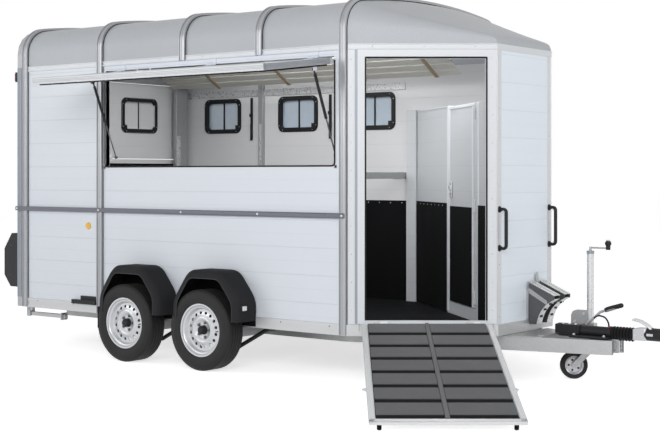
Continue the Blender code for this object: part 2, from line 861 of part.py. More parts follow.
def sills():
    low, high = SILL_BOTTOM, SILL_TOP
    for word, side in SIDES:
        sill = block(
            (FRAME_FRONT + GAP, side * (HALF + SILL_PROUD), low),
            (-LAP - GAP, side * (HALF - WALL), high),
        )
        slot = block(
            (FRAME_FRONT - 0.01, side * (HALF + SILL_PROUD - 0.004), low + 0.030),
            (-LAP + 0.01, side * (HALF + SILL_PROUD + 0.01), high - 0.030),
        )
        node("sill_" + word, [sill], "aluminium", ROOT, cuts=[slot])
    nose = plate([band(NOSE_CHAIN, -WALL, SILL_PROUD)], low, high)
    hinges = carried(
        fixed_leaves(ramp_hinge_places(), RAMP_HINGE_OUT - SILL_PROUD, RAMP_KNUCKLE_RADIUS),
        ramp_closed_frame(),
    )
    node("sill_nose", [nose, *hinges], "aluminium", ROOT)


def window_outline(middle, grow=0.0):
    return rounded_box(
        WINDOW_WIDTH + 2 * grow, WINDOW_HEIGHT + 2 * grow, WINDOW_RADIUS + grow, middle
    )


def window_hole(middle):
    return window_outline(middle, -WINDOW_BORDER / 2 + GAP)


def window_pieces(depth):
    """Frame clamped round a hole from z = 0 (outer face) to -depth, with its pane."""
    lip = WINDOW_BORDER / 2
    back = -depth - WINDOW_PROUD
    section = (
        # growth of the outline, place along the normal
        (0.0, GAP),
        (0.0, WINDOW_PROUD),
        (-WINDOW_BORDER, WINDOW_PROUD),
        (-WINDOW_BORDER, back),
        (0.0, back),
        (0.0, -depth - GAP),
        (-lip, -depth - GAP),
        (-lip, GAP),
    )
    rows = [[(x, y, z) for x, y in window_outline((0, 0), grow)] for grow, z in section]
    frame = loft(rows + rows[:1], capped=False)
    middle = -depth / 2
    pane = plate([window_outline((0, 0), PANE_SEAT - WINDOW_BORDER)], middle, middle + PANE)
    tall = WINDOW_HEIGHT / 2 - WINDOW_BORDER + PANE_SEAT
    bar = block((-0.008, -tall, middle - 0.004), (0.008, tall, middle + PANE + 0.004))
    return [frame, pane, bar]


def outward_side(side):
    """Outlines in (x, z) on a side wall, normal outwards on the left, (-x, z) on the right."""
    return basis((0, side * HALF, 0), (-side, 0, 0), (0, 0, 1))


def side_walls():
    low, high = SILL_TOP + GAP, WALL_TOP
    rear_x, front_x = FRAME_FRONT + GAP, -LAP - GAP
    wall = [(rear_x, low), (front_x, low), (front_x, high), (rear_x, high)]
    hatch = [
        (HATCH_REAR, HATCH_BOTTOM),
        (HATCH_FRONT, HATCH_BOTTOM),
        (HATCH_FRONT, HATCH_TOP),
        (HATCH_REAR, HATCH_TOP),
    ]
    right = plate([wall, hatch], HALF - WALL, HALF, SIDEWAYS)
    hinges = carried(fixed_leaves(flap_hinge_places(), FLAP_HINGE_OUT), flap_closed_frame())
    studs = []
    for end, _ in strut_ends():
        studs += strut_foot_bracket(end)
    node("side_wall_right", [right, *hinges, *studs], "white", ROOT)
    mirror = outward_side(LEFT)
    flipped = [[(-x, z) for x, z in wall]]
    flipped += [window_hole((-x, WINDOW_MIDDLE)) for x in WINDOWS]
    post_front = HOOPS[0][1]
    post = block(
        (post_front - HOOP_WIDTH, HALF - WALL + 0.001, KICKBOARD_TOP + GAP),
        (post_front, HALF - WALL - INNER_POST, WALL_TOP),
    )
    node("side_wall_left", [plate(flipped, -WALL, 0.0, mirror), post], "white", ROOT)
    for i, x in enumerate(WINDOWS, 1):
        place = mirror @ Matrix.Translation((-x, WINDOW_MIDDLE, 0))
        node(f"side_window_{i}", window_pieces(WALL), "black_plastic", ROOT, place)


def grab_handle(side):
    y = side * (FRONT_WIDTH / 2 - HANDLE_INSET)
    seat, out = NOSE_LENGTH - 0.004, NOSE_LENGTH + HANDLE_OUT
    bend = HANDLE_OUT * 0.5
    return pipe(
        [
            (seat, y, HANDLE_BOTTOM),
            (out - bend, y, HANDLE_BOTTOM),
            (out, y, HANDLE_BOTTOM + bend),
            (out, y, HANDLE_TOP - bend),
            (out - bend, y, HANDLE_TOP),
            (seat, y, HANDLE_TOP),
        ],
        HANDLE_RADIUS,
        1,
    )


def chock_outline():
    """One chock in (x, z): a wedge with a hollow face that a tyre rolls into."""
    back = NOSE_LENGTH + CHOCK_BACK - 0.001
    nose = Vector((NOSE_LENGTH + CHOCK_NOSE[0], CHOCK_NOSE[1]))
    heel = Vector((back + CHOCK_HEEL, CHOCK_BOTTOM))
    lip = nose - Vector((0.0, 0.028))
    hollow = [lip.lerp(heel, share) for share in (0.0, 0.25, 0.5, 0.75, 1.0)]
    inward = Vector((-0.76, 0.65))
    for i, depth in enumerate((0.0, 0.024, 0.032, 0.024, 0.0)):
        hollow[i] = hollow[i] + inward * depth
    return [(back, CHOCK_BOTTOM), (back, CHOCK_TOP), tuple(nose), *[tuple(p) for p in hollow]]


def wheel_chocks():
    """Two chocks on a carrier plate, with a pointed stem down over the sill."""
    low = SILL_BOTTOM + 0.040
    start, end = CHOCK_PLACES[0], CHOCK_PLACES[-1] + CHOCK_WIDTH
    front = NOSE_LENGTH + CHOCK_BACK
    right, left = CHOCK_CARRIER
    middle = (right + left) / 2
    stem = plate(
        [
            [
                (right, SILL_TOP + GAP),
                (left, SILL_TOP + GAP),
                (left, CHOCK_CARRIER_TOP - 0.040),
                (middle, CHOCK_CARRIER_TOP),
                (right, CHOCK_CARRIER_TOP - 0.040),
            ]
        ],
        NOSE_LENGTH + GAP,
        front,
        CROSS,
    )
    back = block((NOSE_LENGTH + GAP, start, SILL_TOP + GAP), (front, end, CHOCK_TOP))
    pieces = [back, stem]
    for place in CHOCK_PLACES:
        pieces.append(plate([chock_outline()], -place - CHOCK_WIDTH, -place, SIDEWAYS))
    foot = block((NOSE_LENGTH + SILL_PROUD + GAP, right, low), (front + 0.006, left, CHOCK_TOP))
    pieces.append(foot)
    node("wheel_chocks", pieces, "galvanised", ROOT)


def nose_walls():
    low, high = SILL_TOP + GAP, WALL_TOP
    for word, side in SIDES:
        chain = [(x, side * -y) for x, y in NOSE_CHAIN[:3]]
        chain.append((NOSE_LENGTH, side * (FRONT_WIDTH / 2 - LAP)))
        if side == LEFT:
            outline = band(chain, WALL, 0.0)
        else:
            outline = band(chain, -WALL, 0.0)
        doorway = moved(
            block(
                (DOORWAY_START, -0.2, DOORWAY_BOTTOM),
                (DOORWAY_END, 0.2, DOORWAY_TOP),
            ),
            nose_frame(side),
        )
        pieces = [plate([outline], low, high), grab_handle(side)]
        if side == LEFT:
            places = three_places(
                DOORWAY_BOTTOM + SIDE_DOOR_HINGE_INSET, DOORWAY_TOP - SIDE_DOOR_HINGE_INSET
            )
            hinges = fixed_leaves([-place for place in places])
            pieces += carried(hinges, tack_door_closed_frame())
        node(
            "doorway_frame_right" if side == RIGHT else "tack_door_frame_left",
            pieces,
            "aluminium",
            ROOT,
            cuts=[doorway],
        )
    half = FRONT_WIDTH / 2 - LAP - GAP
    panel = block((NOSE_LENGTH - WALL, -half, low), (NOSE_LENGTH, half, high))
    node("front_wall", [panel], "white", ROOT)


def rear_frame():
    """Portal round the rear, up over the roof line, with the first hoop on it."""
    outer = [(-HALF, SILL_BOTTOM), *body_arch(WALL_TOP), (HALF, SILL_BOTTOM)]
    clear = HALF - REAR_POST
    hole = [
        (-clear, REAR_RAMP_BOTTOM),
        (clear, REAR_RAMP_BOTTOM),
        (clear, REAR_LINTEL_BOTTOM),
        (-clear, REAR_LINTEL_BOTTOM),
    ]
    pieces = [plate([outer, hole], REAR, FRAME_FRONT, CROSS)]
    for _, side in SIDES:
        places = [-side * place for place in rear_door_hinge_places()]
        pieces += carried(fixed_leaves(places), rear_door_closed_frame(side))
    pieces += carried(fixed_leaves(REAR_RAMP_HINGES), rear_ramp_closed_frame())
    pieces += stand_ears()
    node("rear_frame", pieces, "aluminium", ROOT)


def hoop(front_edge, bottom):
    """An aluminium channel over the roof: a flat strip with two raised edges."""
    line = body_arch(bottom)
    rear_edge = front_edge - HOOP_WIDTH
    tall = HOOP_HEIGHT + HOOP_LIP_HEIGHT
    section = (
        (rear_edge, GAP),
        (rear_edge, tall),
        (rear_edge + HOOP_LIP, tall),
        (rear_edge + HOOP_LIP, HOOP_HEIGHT),
        (front_edge - HOOP_LIP, HOOP_HEIGHT),
        (front_edge - HOOP_LIP, tall),
        (front_edge, tall),
        (front_edge, GAP),
    )
    rails = [[(x, y, z) for y, z in offset_chain(line, -out)] for x, out in section]
    return loft(list(zip(*rails)), capped=True)


def roof():
    line = body_arch(WALL_TOP + GAP)
    shell = plate([band(line, 0.0, ROOF_THICKNESS)], FRAME_FRONT + GAP, -GAP, CROSS)
    node("roof_shell", [shell], "roof_grey", ROOT)
    node("roof_hoop_1", [hoop(FIRST_HOOP, SILL_TOP + GAP)], "aluminium", ROOT)
    for number, front_edge, has_posts in HOOPS:
        bottom = SILL_TOP + GAP if has_posts else WALL_TOP + 0.01
        node(f"roof_hoop_{number}", [hoop(front_edge, bottom)], "aluminium", ROOT)
    nose_roof()


NOSE_ROOF_SECTIONS = (
    # share of the nose's length, drop of the eave, shoulder radius, drop of the crown
    (0.0, 0.0, SHOULDER_RADIUS, 0.0),
    (0.35, 0.015, 0.120, 0.095),
    (0.70, 0.045, 0.060, 0.215),
    (0.97, 0.075, 0.022, 0.305),
    (1.0, 0.100, 0.010, 0.350),
)


def nose_roof():
    """Moulded hood from the last hoop down to the front wall."""
    work = bmesh.new()
    rows = []
    shrink = (BODY_WIDTH - FRONT_WIDTH) / 2
    for share, eave_drop, shoulder, crown_drop in NOSE_ROOF_SECTIONS:
        eave, crown = EAVE_HEIGHT - eave_drop, CROWN_HEIGHT - crown_drop
        line = arch(HALF - shrink * share, eave, shoulder, crown, WALL_TOP + GAP)
        x = max(GAP, NOSE_LENGTH * share)
        rows.append([work.verts.new((x, y, z)) for y, z in line])
    for first, second in zip(rows, rows[1:]):
        for i in range(len(first) - 1):
            work.faces.new((first[i], second[i], second[i + 1], first[i + 1]))
    work.faces.new(rows[-1])
    hood = bpy.data.objects.new("roof_nose", mesh_from(work, smooth=True))
    hood.data.materials.append(finish_of("roof_grey"))
    PARTS.objects.link(hood)
    hood.parent = ROOT
    shell = hood.modifiers.new("Solidify", "SOLIDIFY")
    shell.thickness = NOSE_ROOF_THICKNESS
    shell.offset = -1.0
    trim = block((-0.05, -HALF - 0.05, WALL_TOP - 0.05), (GAP, HALF + 0.05, CROWN_HEIGHT + 0.05))
    combine(hood, [trim], "DIFFERENCE")


# Frames of the moving panels when closed, and their hinges along the axis


def nose_point(side, along, out, height):
    forward, outward = nose_vectors(side)
    base = Vector((0, side * HALF, 0)) + forward * along + outward * out
    return (base.x, base.y, height)


def ramp_closed_frame():
    _, outward = nose_vectors(RIGHT)
    middle = (DOORWAY_START + DOORWAY_END) / 2
    origin = nose_point(RIGHT, middle, RAMP_HINGE_OUT, RAMP_HINGE_HEIGHT)
    return basis(origin, (0, 0, 1), outward)


def ramp_hinge_places():
    return (-RAMP_WIDTH * RAMP_HINGE_SHARE, RAMP_WIDTH * RAMP_HINGE_SHARE)


def side_ramp():
    opened = 90.0 + RAMP_DROP
    hinge = empty("side_ramp_hinge", ramp_closed_frame() @ turned_by(opened), ROOT)
    half = RAMP_WIDTH / 2
    back = RAMP_FACE + RAMP_THICKNESS
    outline = [(RAMP_ROOT, -half), (RAMP_LENGTH, -half), (RAMP_LENGTH, half), (RAMP_ROOT, half)]
    place = basis((0, 0, 0), (1, 0, 0), (0, 0, 1))  # outlines in (x, z), normal -y
    pieces = [plate([outline], -back, -RAMP_FACE, place)]
    pieces += moving_leaves(ramp_hinge_places(), -RAMP_FACE, RAMP_KNUCKLE_RADIUS)
    drop = math.radians(RAMP_DROP)
    tip_height = RAMP_HINGE_HEIGHT - RAMP_LENGTH * math.sin(drop)
    ground = tip_height / math.cos(drop)
    foot_x = RAMP_LENGTH - 2 * RAMP_FOOT_RADIUS
    for side in SIDES_OF_RAMP:
        z = side * (half - RAMP_FOOT_INSET)
        pieces.append(rod((foot_x, back - 0.004, z), (foot_x, ground, z), RAMP_FOOT_RADIUS))
        pieces.append(
            block(
                (RAMP_HOOK_PLACE - 0.02, RAMP_FACE + 0.012, side * (half - 0.01)),
                (RAMP_HOOK_PLACE + 0.02, RAMP_FACE + 0.022, side * (half + 0.022)),
            )
        )
    node("side_ramp", pieces, "aluminium", hinge)
    edge = half - RAMP_EDGE
    mat_end = RAMP_LENGTH - RAMP_EDGE
    mat = [block((MAT_START, RAMP_FACE - GAP, -edge), (mat_end, -RAMP_FACE, edge))]
    pitch = (mat_end - MAT_START - CLEAT_WIDTH) / CLEAT_COUNT
    for i in range(CLEAT_COUNT):
        x = MAT_START + 0.010 + pitch * i
        mat.append(block((x, 0.0, -edge), (x + CLEAT_WIDTH, -CLEAT_HEIGHT, edge)))
    node("side_ramp_mat", mat, "black_rubber", hinge)


def flap_closed_frame():
    x = (HATCH_REAR + HATCH_FRONT) / 2
    origin = (x, RIGHT * (HALF + FLAP_HINGE_OUT), HATCH_TOP - HINGE_IN)
    return basis(origin, (0, 0, -1), (0, RIGHT, 0))


def flap_hinge_places():
    length = HATCH_FRONT - HATCH_REAR
    return three_places(-length * FLAP_HINGE_SHARE, length * FLAP_HINGE_SHARE)


def strut_ends():
    """Each strut's place along the flap's axis, and the way to the jamb."""
    half = (HATCH_FRONT - HATCH_REAR) / 2 - STRUT_FROM_END
    return ((-half, -1), (half, 1))


def strut_points():
    """Upper eye and foot in the flap's closed frame."""
    depth = -(FLAP_HINGE_OUT + WALL + STRUT_INSET)
    foot = flap_closed_frame().translation.z - STRUT_FOOT_HEIGHT
    return Vector((STRUT_TOP, depth, 0)), Vector((foot, depth, 0))


def strut_foot_bracket(end):
    """A stud out of the jamb, on a plate on the wall's inner face."""
    _, foot = strut_points()
    jamb = 1 if end > 0 else -1
    edge = (HATCH_FRONT - HATCH_REAR) / 2
    stud_start = end + jamb * (STRUT_EYE + GAP)
    stud = rod((foot.x, foot.y, stud_start), (foot.x, foot.y, jamb * (edge + 0.03)), 0.006)
    inner_face = -(FLAP_HINGE_OUT + WALL)
    tab = block(
        (foot.x - 0.03, foot.y - 0.010, jamb * (edge + 0.012)),
        (foot.x + 0.03, inner_face + 0.001, jamb * (edge + 0.034)),
    )
    return carried([stud, tab], flap_closed_frame())


def hatch_flap():
    opened = 90.0 - FLAP_DROOP
    closed = flap_closed_frame()
    hinge = empty("hatch_flap_hinge", closed @ turned_by(opened), ROOT)
    edge = (HATCH_FRONT - HATCH_REAR) / 2 - DOOR_GAP
    bottom = closed.translation.z - HATCH_BOTTOM - DOOR_GAP
    panel = block(
        (PANEL_START, -FLAP_HINGE_OUT - WALL, -edge), (bottom, -FLAP_HINGE_OUT, edge)
    )
    pieces = [panel] + moving_leaves(flap_hinge_places(), FLAP_HINGE_OUT)
    upper, _ = strut_points()
    for end, jamb in strut_ends():
        inner = -FLAP_HINGE_OUT - WALL
        start = end + jamb * (STRUT_EYE + GAP)
        pieces.append(
            block(
                (upper.x - STRUT_BRACKET, inner + 0.001, start),
                (upper.x + STRUT_BRACKET, upper.y - 0.010, start + jamb * 0.006),
            )
        )
    node("hatch_flap", pieces, "white", hinge)
    return hinge


def struts(flap_hinge):
    """Gas struts: the cylinder hangs on the flap, the rod slides in it to the jamb."""
    upper, foot = strut_points()
    open_turn = turned_by(90.0 - FLAP_DROOP)
    foot_in_flap = open_turn.inverted() @ foot
    along = foot_in_flap - upper
    for (word, (end, jamb)) in zip(("rear", "front"), sorted(strut_ends(), reverse=True)):
        place = basis(upper + Vector((0, 0, end)), along, Vector((0, 0, 1)).cross(along))
        eye = empty(f"strut_{word}_eye", place, flap_hinge)
        gland = STRUT_CYLINDER
        cylinder = [
            rod((STRUT_NECK, 0, 0), (gland, 0, 0), STRUT_RADIUS),
            rod((0, 0, -STRUT_EYE), (0, 0, STRUT_EYE), STRUT_RADIUS),
            rod((0.005, 0, 0), (STRUT_NECK + 0.002, 0, 0), STRUT_NECK_RADIUS),
        ]
        bore = rod((STRUT_NECK + 0.011, 0, 0), (gland + 0.01, 0, 0), STRUT_ROD_RADIUS + GAP)
        node(f"gas_strut_cylinder_{word}", cylinder, "black_plastic", eye, cuts=[bore])
        shaft = [
            rod((gland - STRUT_OVERLAP, 0, 0), (along.length - 0.005, 0, 0), STRUT_ROD_RADIUS),
            rod((along.length, 0, -STRUT_EYE), (along.length, 0, STRUT_EYE), STRUT_RADIUS),
        ]
        node(f"gas_strut_rod_{word}", shaft, "silver", eye)


def rear_ramp_closed_frame():
    origin = (REAR - HINGE_OUT, 0, REAR_RAMP_BOTTOM + HINGE_IN)
    return basis(origin, (0, 0, 1), (-1, 0, 0))


REAR_RAMP_HINGES = three_places(-REAR_RAMP_HINGE_SPREAD, REAR_RAMP_HINGE_SPREAD)


def rear_ramp():
    hinge = empty("rear_ramp_hinge", rear_ramp_closed_frame(), ROOT)
    half = HALF - REAR_POST - DOOR_GAP
    top = REAR_RAMP_TOP - hinge.matrix_basis.translation.z
    pieces = [block((PANEL_START, -HINGE_OUT - DOOR_THICKNESS, -half), (top, -HINGE_OUT, half))]
    pieces += moving_leaves(REAR_RAMP_HINGES)
    node("rear_ramp", pieces, "white", hinge)


def rear_door_hinge_places():
    return (
        REAR_RAMP_TOP + REAR_DOOR_HINGE_INSET,
        REAR_LINTEL_BOTTOM - REAR_DOOR_HINGE_INSET,
    )


def rear_door_closed_frame(side):
    """Hinge at the frame's outer post; z is up on the right door, down on the left."""
    origin = (REAR - HINGE_OUT, side * (HALF - REAR_POST - HINGE_IN), 0)
    return basis(origin, (0, -side, 0), (-1, 0, 0))


def rear_doors():
    for word, side in SIDES:
        up = -side
        hinge = empty(f"rear_door_{word}_hinge", rear_door_closed_frame(side), ROOT)
        start = PANEL_START
        end = HALF - REAR_POST - HINGE_IN - DOOR_GAP / 2
        low, high = REAR_RAMP_TOP + DOOR_GAP, REAR_LINTEL_BOTTOM - DOOR_GAP
        outline = [(start, up * low), (end, up * low), (end, up * high), (start, up * high)]
        middle_x = HALF - REAR_POST - HINGE_IN - REAR_WINDOW_OUT
        middle = (middle_x, up * WINDOW_MIDDLE)
        flat = basis((0, 0, 0), (1, 0, 0), (0, 0, 1))
        inside = HINGE_OUT + DOOR_THICKNESS
        opening = window_outline(middle, -WINDOW_BORDER)
        pieces = [plate([outline, opening], HINGE_OUT, inside, flat)]
        rim = [window_outline(middle), opening]
        pieces.append(plate(rim, HINGE_OUT - 0.008, inside + 0.008, flat))
        glass = window_outline(middle, PANE_SEAT - WINDOW_BORDER)
        pieces.append(plate([glass], inside - 0.020, inside - 0.020 + PANE, flat))
        pieces += moving_leaves([up * place for place in rear_door_hinge_places()])
        node(f"rear_door_{word}", pieces, "white", hinge)


def tack_door_closed_frame():
    forward, outward = nose_vectors(LEFT)
    origin = nose_point(LEFT, DOORWAY_END - HINGE_IN, HINGE_OUT, 0)
    return basis(origin, -forward, outward)


def tack_door():
    hinge = empty("tack_door_hinge", tack_door_closed_frame(), ROOT)
    width = DOORWAY_END - DOORWAY_START
    low, high = DOORWAY_BOTTOM + DOOR_GAP, DOORWAY_TOP - DOOR_GAP
    panel = block(
        (PANEL_START, -HINGE_OUT - DOOR_THICKNESS, -low),
        (width - DOOR_GAP - HINGE_IN, -HINGE_OUT, -high),
    )
    places = three_places(
        DOORWAY_BOTTOM + SIDE_DOOR_HINGE_INSET, DOORWAY_TOP - SIDE_DOOR_HINGE_INSET
    )
    leaves = moving_leaves([-place for place in places])
    node("tack_door", [panel, *leaves], "white", hinge)


INNER_DOOR_HINGES = three_places(
    TACK_DOOR_BOTTOM + INNER_DOOR_HINGE_INSET, TACK_WALL_TOP - INNER_DOOR_HINGE_INSET
)


def inner_door_closed_frame():
    frame, _ = tack_frame()
    along, stall = frame.to_3x3().col[0], stall_side(frame)
    origin = frame.translation + along * (TACK_DOOR_END - HINGE_IN) + stall * HINGE_OUT
    return basis(origin, -along, stall)


def stall_side(frame):
    """Out of the slanted wall's stall face, towards the rear right."""
    normal = frame.to_3x3().col[2]
    return -normal if normal.y > 0 else normal.copy()


def tack_wall():
    """Slanted wall of the tack room, with its doorway and the post at its rear edge."""
    frame, length = tack_frame()
    low, high = FLOOR_TOP + GAP, TACK_WALL_TOP
    start, end = TACK_DOOR_START, TACK_DOOR_END
    wall_end = length - TACK_WALL_THICKNESS * 1.6
    slant = frame.to_3x3().col[0]
    wall_start = TACK_WALL_THICKNESS * slant.x / abs(slant.y) + TACK_WALL_EASE
    outline = [
        (wall_start, low),
        (wall_end, low),
        (wall_end, high),
        (end, high),
        (end, TACK_DOOR_BOTTOM),
        (start, TACK_DOOR_BOTTOM),
        (start, high),
        (wall_start, high),
    ]
    normal = frame.to_3x3().col[2]
    inner = TACK_WALL_THICKNESS if normal.y > 0 else -TACK_WALL_THICKNESS
    wall = plate([outline], 0.0, inner, frame)
    hinges = carried(fixed_leaves(INNER_DOOR_HINGES), inner_door_closed_frame())
    post = block(
        (TACK_WALL_REAR - TACK_POST_REAR, HALF - WALL - GAP, low),
        (
            TACK_WALL_REAR + wall_start * slant.x + TACK_POST_LAP,
            HALF - WALL - TACK_POST,
            high + 0.02,
        ),
    )
    node("tack_wall", [wall, post, *hinges], "white", ROOT)


def inner_door():
    hinge = empty("inner_door_hinge", inner_door_closed_frame(), ROOT)
    width = TACK_DOOR_END - TACK_DOOR_START
    panel = block(
        (PANEL_START, -HINGE_OUT - TACK_WALL_THICKNESS, TACK_DOOR_BOTTOM + DOOR_GAP),
        (width - DOOR_GAP - HINGE_IN, -HINGE_OUT, TACK_WALL_TOP),
    )
    node("inner_door", [panel, *moving_leaves(INNER_DOOR_HINGES)], "white", hinge)


def breast_bar():
    half = BREAST_BAR / 2
    end = HALF - WALL - GAP
    bar = block(
        (BREAST_BAR_X - half, -end, BREAST_BAR_HEIGHT - half),
        (BREAST_BAR_X + half, end, BREAST_BAR_HEIGHT + half),
    )
    node("breast_bar", [bar], "galvanised", ROOT)


def rear_lamps():
    """Black lamp towers at the rear corners, with chamfered edges and ends."""
    sections = (
        # height, how far the lamp's face is drawn in
        (LAMP_BOTTOM, LAMP_BEVEL),
        (LAMP_BOTTOM + LAMP_BEVEL, 0.0),
        (LAMP_TOP - LAMP_BEVEL, 0.0),
        (LAMP_TOP, LAMP_BEVEL),
    )
    for word, side in SIDES:
        outer, inner = side * HALF, side * (HALF - LAMP_WIDTH)
        rows = []
        for height, drawn in sections:
            face = LAMP_REAR + drawn
            cut = side * LAMP_CHAMFER
            rows.append(
                [
                    (REAR - GAP, outer, height),
                    (REAR - GAP, inner, height),
                    (face + LAMP_CHAMFER, inner, height),
                    (face, inner + cut, height),
                    (face, outer - cut, height),
                    (face + LAMP_CHAMFER, outer, height),
                ]
            )
        node("rear_lamp_" + word, [loft(rows, capped=True)], "black_plastic", ROOT)


def coupling():
    z = COUPLING_HEIGHT
    housing = [
        rod((HOUSING_START, 0, z), (HOUSING_END, 0, z), HOUSING_RADIUS),
        block(
            (HOUSING_START + 0.02, -HOUSING_FOOT, RAIL_TOP + GAP),
            (LEVER_POINTS[0][0] + LEVER_HUB, HOUSING_FOOT, z),
        ),
        block((HOUSING_END - 0.14, -0.09, RAIL_TOP + GAP), (HOUSING_END - 0.02, 0.09, z - 0.01)),
    ]
    start = HOUSING_END - 0.002
    length = GAITER_END - start
    step = length / GAITER_RIBS
    valley, rib = GAITER_RADII
    profile = [(0.0, 0.0)]
    for i in range(GAITER_RIBS):
        profile += [(valley, i * step), (rib, (i + 0.5) * step)]
    profile += [(valley, length), (0.0, length)]
    along = basis((start, 0, z), (0, 1, 0), (0, 0, 1))
    housing.append(moved(solid_of_turn(profile, 12), along))
    node("coupling_housing", housing, "black_plastic", ROOT)
    head_end = NOSE_TIP - 0.045
    socket = rod((head_end, 0, z - 0.035), (head_end, 0, z + 0.030), 0.045, 16)
    cup = rod((head_end, 0, z - 0.05), (head_end, 0, z + 0.005), 0.026, 16)
    head = [
        rod((GAITER_END + GAP, 0, z), (NOSE_TIP - 0.09, 0, z), 0.030, 16),
        socket,
        pipe(
            [
                (head_end - 0.03, 0, z + 0.02),
                (head_end - 0.06, 0, z + 0.08),
                (head_end - 0.15, 0, z + 0.11),
            ],
            0.012,
        ),
    ]
    node("coupling_head", head, "silver", ROOT, cuts=[cup])


def brake_lever():
    points = [(x, LEVER_Y, z) for x, z in LEVER_POINTS]
    grip_start = Vector(points[1]).lerp(Vector(points[2]), 0.25)
    hub_x, _, hub_z = points[0]
    pieces = [
        pipe(points, 0.010),
        rod(grip_start, points[2], 0.016),
        rod((hub_x, HOUSING_FOOT + GAP, hub_z), (hub_x, LEVER_Y + 0.012, hub_z), LEVER_HUB),
    ]
    node("brake_lever", pieces, "galvanised", ROOT)


def jockey_wheel():
    top = JOCKEY_TUBE_TOP
    foot = (JOCKEY_X, JOCKEY_Y, JOCKEY_TUBE_BOTTOM)
    tube = rod(foot, (JOCKEY_X, JOCKEY_Y, top), JOCKEY_TUBE_RADIUS, 16)
    rear_x, front_x = JOCKEY_X - JOCKEY_CLAMP / 2, JOCKEY_X + JOCKEY_CLAMP / 2
    clamp = plate(
        [
            [
                (rear_x, rail_outer_y(rear_x) + GAP),
                (front_x, rail_outer_y(front_x) + GAP),
                (front_x, JOCKEY_Y + 0.01),
                (rear_x, JOCKEY_Y + 0.01),
            ]
        ],
        RAIL_TOP - 0.07,
        RAIL_TOP + 0.08,
    )
    crank_z = top + 0.025
    crank_end = JOCKEY_X + 0.14
    crank = [
        rod((JOCKEY_X, JOCKEY_Y, top - 0.01), (JOCKEY_X, JOCKEY_Y, crank_z + 0.007), 0.009),
        rod((JOCKEY_X, JOCKEY_Y, crank_z), (crank_end, JOCKEY_Y, crank_z), 0.006, 8),
    ]
    knob_foot = (crank_end, JOCKEY_Y, crank_z - 0.009)
    knob = rod(knob_foot, (crank_end, JOCKEY_Y, crank_z + 0.06), 0.014)
    inside = JOCKEY_TUBE_RADIUS - JOCKEY_TUBE_WALL
    bore = rod((JOCKEY_X, JOCKEY_Y, 0.0), (JOCKEY_X, JOCKEY_Y, top - 0.2), inside, 16)
    node("jockey_tube", [tube, clamp, *crank, knob], "galvanised", ROOT, cuts=[bore])
    upright = Matrix.Translation((JOCKEY_X, JOCKEY_Y, 0))
    swivel = empty("jockey_swivel", upright @ turned_by(JOCKEY_TURNED), ROOT)
    wheel_z = JOCKEY_WHEEL_RADIUS
    half = JOCKEY_WHEEL_WIDTH / 2 + 0.006
    crown = JOCKEY_CROWN + JOCKEY_CROWN_THICKNESS
    fork = [
        rod((0, 0, crown - 0.005), (0, 0, top - 0.25), inside - JOCKEY_TUBE_PLAY, 16),
        block((-0.035, -half - 0.004, JOCKEY_CROWN), (0.03, half + 0.004, crown)),
    ]
    for side in (-1, 1):
        low, high = sorted((side * half, side * (half + 0.004)))
        cheek = plate(
            [
                [
                    (0.03, crown),
                    (-0.035, crown),
                    (-JOCKEY_TRAIL - 0.02, wheel_z + 0.01),
                    (-JOCKEY_TRAIL - 0.01, wheel_z - 0.02),
                    (-JOCKEY_TRAIL + 0.02, wheel_z - 0.01),
                ]
            ],
            -high,
            -low,
            SIDEWAYS,
        )
        fork.append(cheek)
    pin_end = half + 0.001
    fork.append(rod((-JOCKEY_TRAIL, -pin_end, wheel_z), (-JOCKEY_TRAIL, pin_end, wheel_z), 0.008))
    node("jockey_fork", fork, "galvanised", swivel)
    spin = empty(
        "jockey_axle", basis((-JOCKEY_TRAIL, 0, wheel_z), (1, 0, 0), (0, 0, 1)), swivel
    )
    width = JOCKEY_WHEEL_WIDTH / 2
    wheel = turned(
        [
            (0.008 + GAP, width),
            (JOCKEY_WHEEL_RADIUS - 0.025, width * 0.5),
            (JOCKEY_WHEEL_RADIUS - 0.015, width),
            (JOCKEY_WHEEL_RADIUS, width * 0.6),
            (JOCKEY_WHEEL_RADIUS, -width * 0.6),
            (JOCKEY_WHEEL_RADIUS - 0.015, -width),
            (JOCKEY_WHEEL_RADIUS - 0.025, -width * 0.5),
            (0.008 + GAP, -width),
        ],
        16,
    )
    node("jockey_wheel", [wheel], "tyre", spin)


def rail_outer_y(x):
    """Outer face of the left drawbar beam at x."""
    share = (RAIL_TIP - x) / (RAIL_TIP - RAIL_BEND)
    middle = RAIL_TIP_SPREAD + (RAIL_SPREAD - RAIL_TIP_SPREAD) * share
    lean = math.atan2(RAIL_SPREAD - RAIL_TIP_SPREAD, RAIL_TIP - RAIL_BEND)
    return middle + RAIL_WIDTH / 2 / math.cos(lean)


def stand_ears():
    """Ears under the rear frame, either side of each stand's hub."""
    ears = []
    for _, side in SIDES:
        for way in (-1, 1):
            inner = side * (HALF - STAND_INSET) + way * (STAND_HUB_WIDTH / 2 + GAP)
            ears.append(
                block(
                    (STAND_HINGE_X - STAND_HUB, inner, STAND_HINGE_HEIGHT - STAND_HUB),
                    (STAND_HINGE_X + STAND_HUB, inner + way * STAND_EAR, SILL_BOTTOM + 0.002),
                )
            )
    return ears


